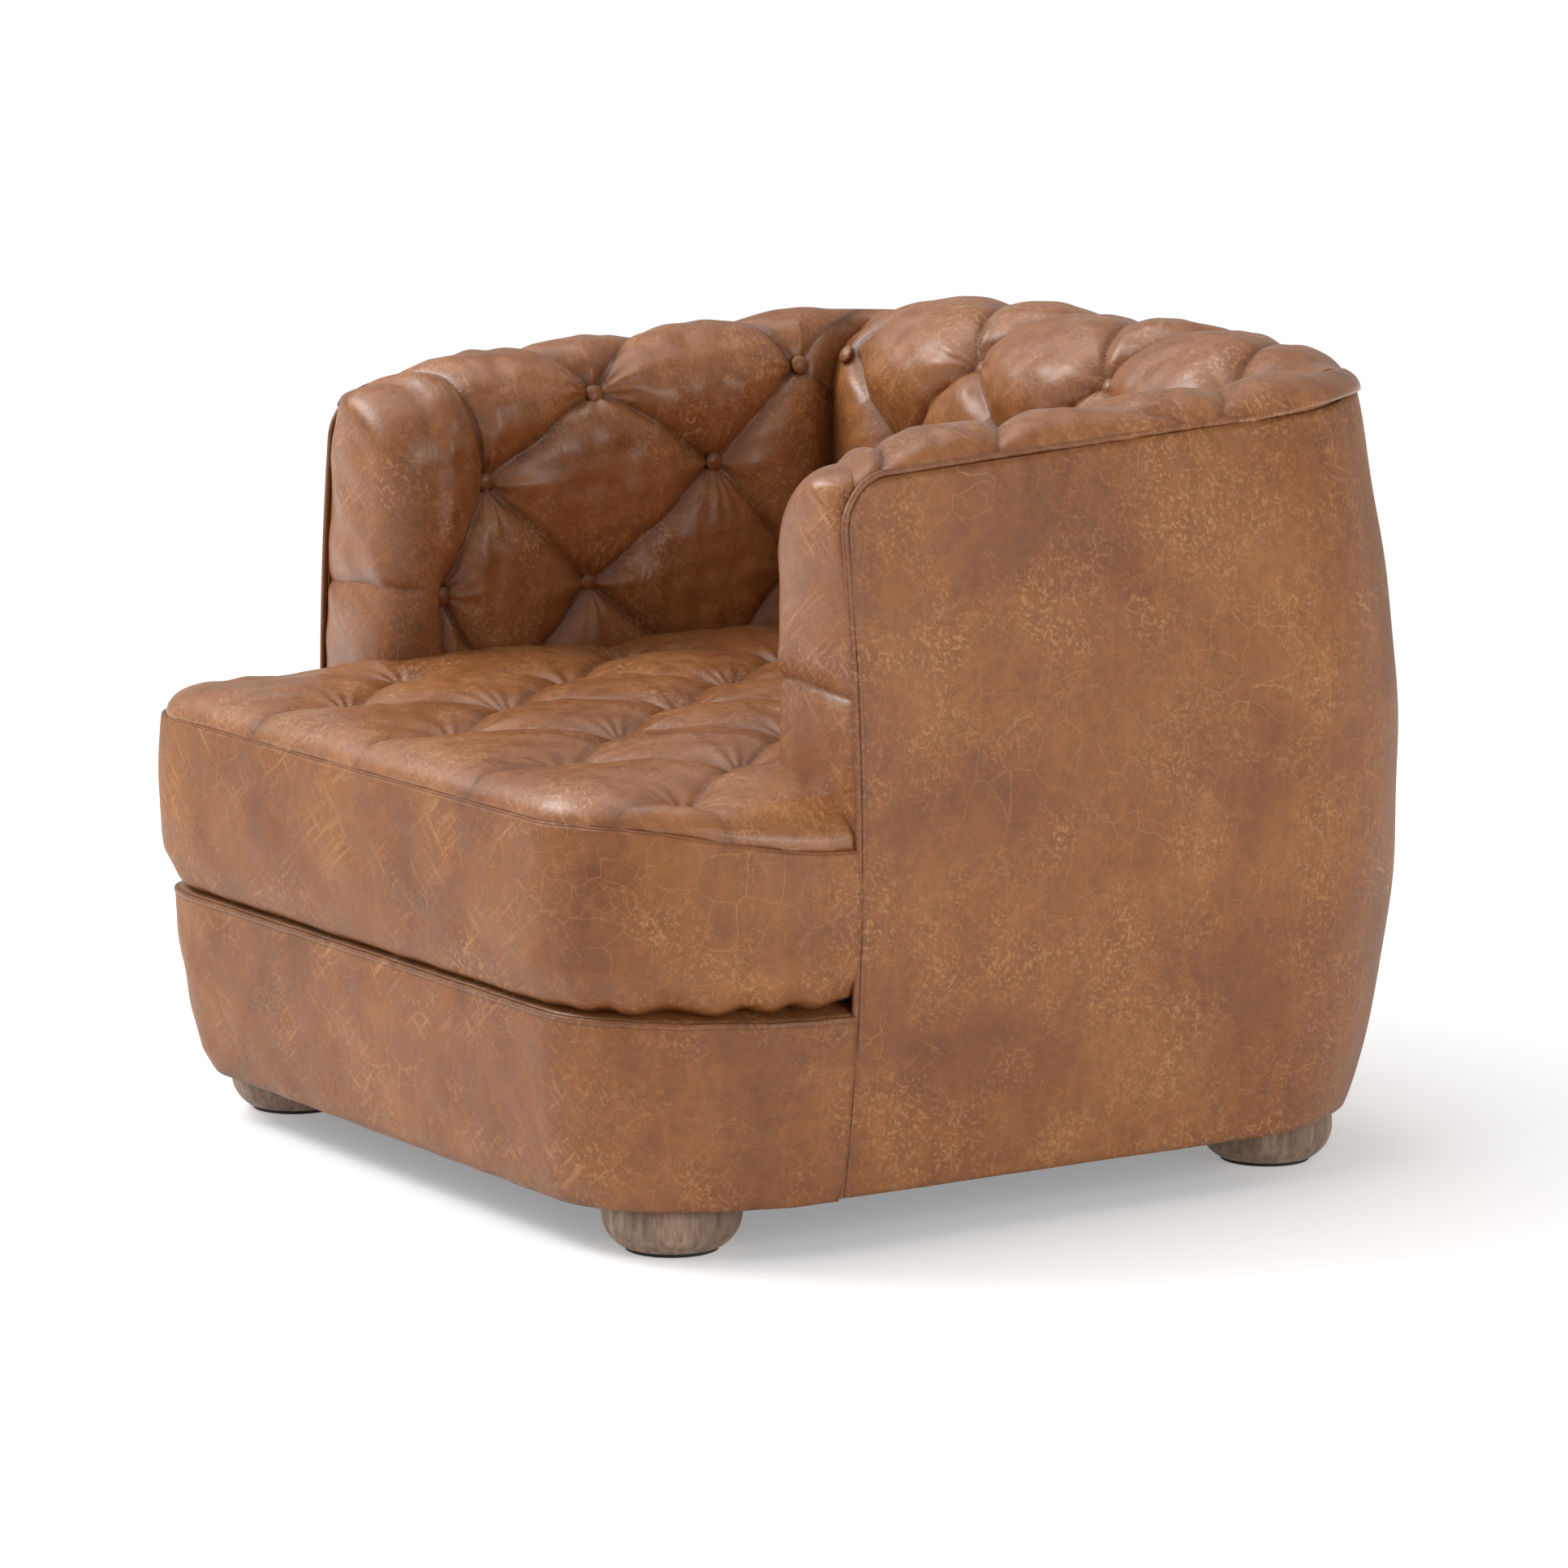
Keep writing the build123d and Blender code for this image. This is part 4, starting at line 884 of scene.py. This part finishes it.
for entry in frame["record"]["subparts"]:
    node = bpy.data.objects.get(entry["node"])
    if node is not None:
        node.data.materials.clear()
        node.data.materials.append(SLOT_MATERIAL[entry["material_slot"]])


# ------------------------------------------------------------------ buttons
BUTTON_R, BUTTON_HIGH = 0.0098, 0.0058
BUTTON_LIFT = 0.0055           # how far the buttons stand clear of the bottom of their dimples
BUTTON_RINGS, BUTTON_AROUND = 9, 28
BUTTON_RIM = 0.25              # share of the rings that make the tucked edge
BUTTON_PLEATS = 7


def lay_button(verts, faces, centre, direction):
    """Covered button: a low dome with a tucked edge, pleated very slightly round its rim."""
    direction = unit(direction)
    side = unit(np.cross(direction, [0.1, 0.2, 1.0]))
    lift = np.cross(direction, side)
    ring_faces(faces, len(verts), BUTTON_RINGS, BUTTON_AROUND)
    for j in range(BUTTON_RINGS):
        t = j / (BUTTON_RINGS - 1)
        if t > BUTTON_RIM:
            r = BUTTON_R * sin(pi / 2 * (1 - t))
        else:
            r = BUTTON_R * ((0.90 + 0.10 * t / BUTTON_RIM) * sin(pi / 2 * (1 - BUTTON_RIM)) * 1.08)
        z = BUTTON_HIGH * (sin(pi / 2 * t) if t > 0 else -0.35)
        for k in range(BUTTON_AROUND):
            a = 2 * pi * k / BUTTON_AROUND
            pleated = max(r, 0.00005) * (1 + 0.008 * cos(BUTTON_PLEATS * a) * (1 - t))
            verts.append(centre + direction * z + (side * cos(a) + lift * sin(a)) * pleated)


def buttons_piece(name, spots, replaced):
    verts, faces = [], []
    for centre, direction in spots:
        lay_button(verts, faces, centre, direction)
    obj = new_object(name, [tuple(v) for v in verts], faces)
    shade_smooth(obj.data)
    finish(obj, BUTTON, "leather_buttons", replaced)


def nearest(values, value):
    return int(np.argmin(np.abs(values - value)))


# ------------------------------------------------------------------ building the chair
def build_arm(side, label):
    roll, grid, outward = arm_roll(side)
    finish(roll, COVER, "leather", label + "_inside_arm_cover", label + "_arm_foam",
           label + "_arm_front_panel")
    run = arm_stations(ARM_COLS)[0]
    spots = []
    for behind, up in ARM_BUTTONS:
        i = nearest(run, behind)
        j = nearest(arm_section(*arm_heights(grid[i, -1, 1]))[2], up)
        spots.append((grid[i, j] + outward[i, j] * BUTTON_LIFT, outward[i, j]))
    buttons_piece(label + "_button_set", spots, label + "_arm_buttons")
    panel = outside_panel(label + "_side_panel", arm_pipe_z, 150, mirror=side < 0)
    finish(panel, SHELL, "leather", label + "_outside_arm_panel")


def build_back():
    roll, grid, outward = back_roll()
    finish(roll, COVER, "leather", "inside_back_cover", "back_foam")
    places = np.linspace(-1, 1, BACK_COLS) * (ARM_IN + CREASE_LAP)
    arcs = section(BACK_THICK, BACK_TOP_AT, ROLL_BASE, BACK_SHOULDER, BACK_CROWN, BACK_PIPE, BACK_ROWS)[2]
    spots = []
    for place, up in BACK_BUTTONS:
        i, j = nearest(places, place), nearest(arcs, up)
        spots.append((grid[i, j] + outward[i, j] * BUTTON_LIFT, outward[i, j]))
    buttons_piece("back_button_set", spots, "back_buttons")
    panel = outside_panel("back_panel", back_pipe_z, 220, whole_back=True)
    finish(panel, SHELL, "leather", "outside_back_panel")


def build_seat():
    cushion = seat_top()
    finish(cushion, COVER, "leather", "seat_top_cover", "seat_foam")
    insets = ((BAND_LOW - 0.008, 0.030), (BAND_LOW + 0.004, 0.012), (BAND_LOW + 0.030, 0.003),
              (BAND_LOW + 0.070, 0.001), (SEAT_SEAM, SEAT_INSET))
    levels = [(z, HALF - inset, FRONT + inset) for z, inset in insets]
    band, points = skirt("seat_band", levels, 60, 0.003, dip=EAR_DROP, gathers=0.0042)
    finish(band, SHELL, "leather", "seat_boxing_band")
    return points


BORDER_TOP = 0.222
BORDER_HEM = -0.453            # the front border at its hem, before the hem's own tuck
SHELF_ROWS = 8
SHELF_DEEP, SHELF_RISE = 0.045, 0.010


def build_border():
    levels = [(HEM, half_width(np.array(HEM)) - 0.004, BORDER_HEM + 0.004)]
    for part_way in (0.12, 0.35, 0.65, 0.9, 1.0):
        z = HEM + part_way * (BORDER_TOP - HEM)
        front = BORDER_HEM + part_way * (BORDER_FRONT + 0.001 - BORDER_HEM) - 0.004 * sin(pi * part_way)
        levels.append((z, float(half_width(np.array(z))) - 0.001, front))
    border, points = skirt("front_border", levels, 50, 0.003, seed=12, dip=0.005)
    finish(border, SHELL, "leather", "front_border_cover", "front_border_pad")

    # The border's sewn lip, and the narrow shelf that leans back from it into the crease under the seat
    lip = points[:, -1]
    lip_piece = tube("border_lip", lip + np.array([0, 0, 0.001]), 0.0032, 0.0042)
    finish(lip_piece, TRIM, "leather_trim", "front_border_welt")
    inward = np.array([0, 0.12, 0]) - lip
    inward[:, 2] = 0
    inward = unit(inward)
    shelf = np.zeros((len(lip), SHELF_ROWS, 3))
    for j, t in enumerate(np.linspace(0, 1, SHELF_ROWS)):
        rise = np.array([0, 0, 0.002 + SHELF_RISE * sin(pi / 2 * t)])
        shelf[:, j] = lip + inward * (SHELF_DEEP * t) + rise
    # The shelf is darkened throughout with painted shade, as it lies in the crease under the seat.
    shelf_piece = grid_mesh("border_shelf", shelf, np.full(shelf.shape[:2], -0.4), thick=ROLL_SHEET)
    finish(shelf_piece, COVER, "leather")


STRIP_TALL, STRIP_WIDE = 0.0028, 0.0030
STRIP_APART = 0.0029           # each half of the double piping lies this far from its middle
TURN_FROM = 0.2                # behind this the outside walls start to turn towards the rear


def double_strip(label, path, tags, piping):
    """Double piping on the outside panels' edge. The first strip stands for the CAD piping."""
    out = path.copy()
    out[:, 1] = np.where(path[:, 1] > TURN_FROM, path[:, 1] - TURN_FROM, 0)
    out[:, 2] = 0
    out = unit(out)
    across = unit(np.cross(np.gradient(path, axis=0), out))
    first, second = (tube(f"{label}_strip_{tag}", path + across * offset, STRIP_TALL, STRIP_WIDE, up=out)
                     for tag, offset in zip(tags, (-STRIP_APART, STRIP_APART)))
    finish(first, TRIM, "leather_trim", piping)
    finish(second, TRIM, "leather_trim")


def arm_strip(side, label):
    """Piping up the arm's front edge, round its corner and back to the rear seam."""
    path = [(half_width(z) - 0.001, ARM_FRONT, z) for z in np.linspace(HEM + 0.002, ARM_PIPE - CORNER_R, 90)]
    seam = float(seam_along(ARM_PIPE))
    for p in np.linspace(0, 1, 200)[1:] ** 2:
        z = arm_pipe_z(p)
        x, y = wall_point(np.array([p * seam]), np.array([z]))
        path.append((x[0] - 0.001, y[0], z + 0.001))
    path = resample(path, 0.006)
    double_strip(label, mirrored(path) if side < 0 else path, ("inner", "outer"), label + "_arm_piping")


def back_strip():
    seam = float(seam_along(BACK_PIPE))
    middle = float(middle_along(BACK_PIPE))
    path = []
    for p in np.linspace(-1, 1, 160):
        x, y = wall_point(np.array([middle - abs(p) * (middle - seam)]), np.array([BACK_PIPE]))
        path.append((np.sign(p) * x[0], y[0] - 0.001, back_pipe_z(p) + 0.001))
    double_strip("back", np.array(path), ("lower", "upper"), "back_piping")


def seat_seam(band_points):
    """Seam where the band meets the seat top, with its row of stitches just below."""
    edge = band_points[:, -1] + np.array([0, 0, 0.0005])
    finish(tube("seat_seam", edge, 0.0018, 0.0022), TRIM, "leather_trim")
    row = band_points[:, -3] * np.array([1.0008, 1.0008, 1])
    row[:, 2] = edge[:, 2] - 0.006
    finish(stitches("seat_stitches", row, (0, 0, 1)), THREAD, "leather_trim")


SIDES = ((1, "right"), (-1, "left"))
for side, label in SIDES:
    build_arm(side, label)
build_back()
seat_band_points = build_seat()
build_border()
for side, label in SIDES:
    arm_strip(side, label)
back_strip()
seat_seam(seat_band_points)

# ------------------------------------------------------------------ stage, light, camera
WHITE = (1, 1, 1, 1)
FLOOR_REACH = 60
FLOOR_GLOW, WORLD_LIGHT, SKY_LIGHT = 0.27, 0.42, 1.75


def build_floor():
    corners = [(x * FLOOR_REACH, y * FLOOR_REACH, 0) for x, y in ((-1, -1), (1, -1), (1, 1), (-1, 1))]
    floor = new_object("floor", corners, [(0, 1, 2, 3)])
    material, _, shader = new_material("floor")
    shader.inputs["Base Color"].default_value = (0.86, 0.86, 0.86, 1)
    shader.inputs["Roughness"].default_value = 0.7
    shader.inputs["Emission Color"].default_value = WHITE
    shader.inputs["Emission Strength"].default_value = FLOOR_GLOW
    floor.data.materials.append(material)


def build_world():
    world = bpy.data.worlds.new("studio")
    bpy.context.scene.world = world
    world.use_nodes = True
    background = world.node_tree.nodes["Background"]
    background.inputs[0].default_value = WHITE
    background.inputs[1].default_value = WORLD_LIGHT


def facing(direction):
    """Rotation that turns a light's own -Z along a direction."""
    return Vector(direction).to_track_quat("-Z", "Y").to_euler()


def area_light(name, place, target, size, power):
    data = bpy.data.lights.new(name, "AREA")
    data.shape = "RECTANGLE"
    data.size, data.size_y = size
    data.energy = power
    lamp = bpy.data.objects.new(name, data)
    lamp.location = place
    lamp.rotation_euler = facing(Vector(target) - Vector(place))
    bpy.context.collection.objects.link(lamp)


def sky_light():
    data = bpy.data.lights.new("sky", "SUN")
    data.energy = SKY_LIGHT
    data.angle = radians(75)
    sky = bpy.data.objects.new("sky", data)
    sky.rotation_euler = facing((0.42, 0.55, -1.0))
    bpy.context.collection.objects.link(sky)


def build_camera():
    data = bpy.data.cameras.new("camera")
    data.lens = 143.35
    data.sensor_width = 36
    camera = bpy.data.objects.new("camera", data)
    camera.location = (4.9601, -3.2177, 1.3228)
    camera.rotation_euler = (radians(90 - 9.4614), 0, radians(57.0977))
    bpy.context.collection.objects.link(camera)
    bpy.context.scene.camera = camera


build_floor()
build_world()
area_light("key", (-1.5, -2.2, 2.7), (0, -0.1, 0.4), (1.5, 1.2), 62)
area_light("side", (3.4, 0.4, 1.3), (0, 0, 0.35), (1.8, 1.4), 38)
area_light("top", (-0.3, 0.4, 2.9), (0, 0, 0.4), (1.6, 1.6), 9)
sky_light()
build_camera()
bpy.context.scene.view_settings.view_transform = "Standard"
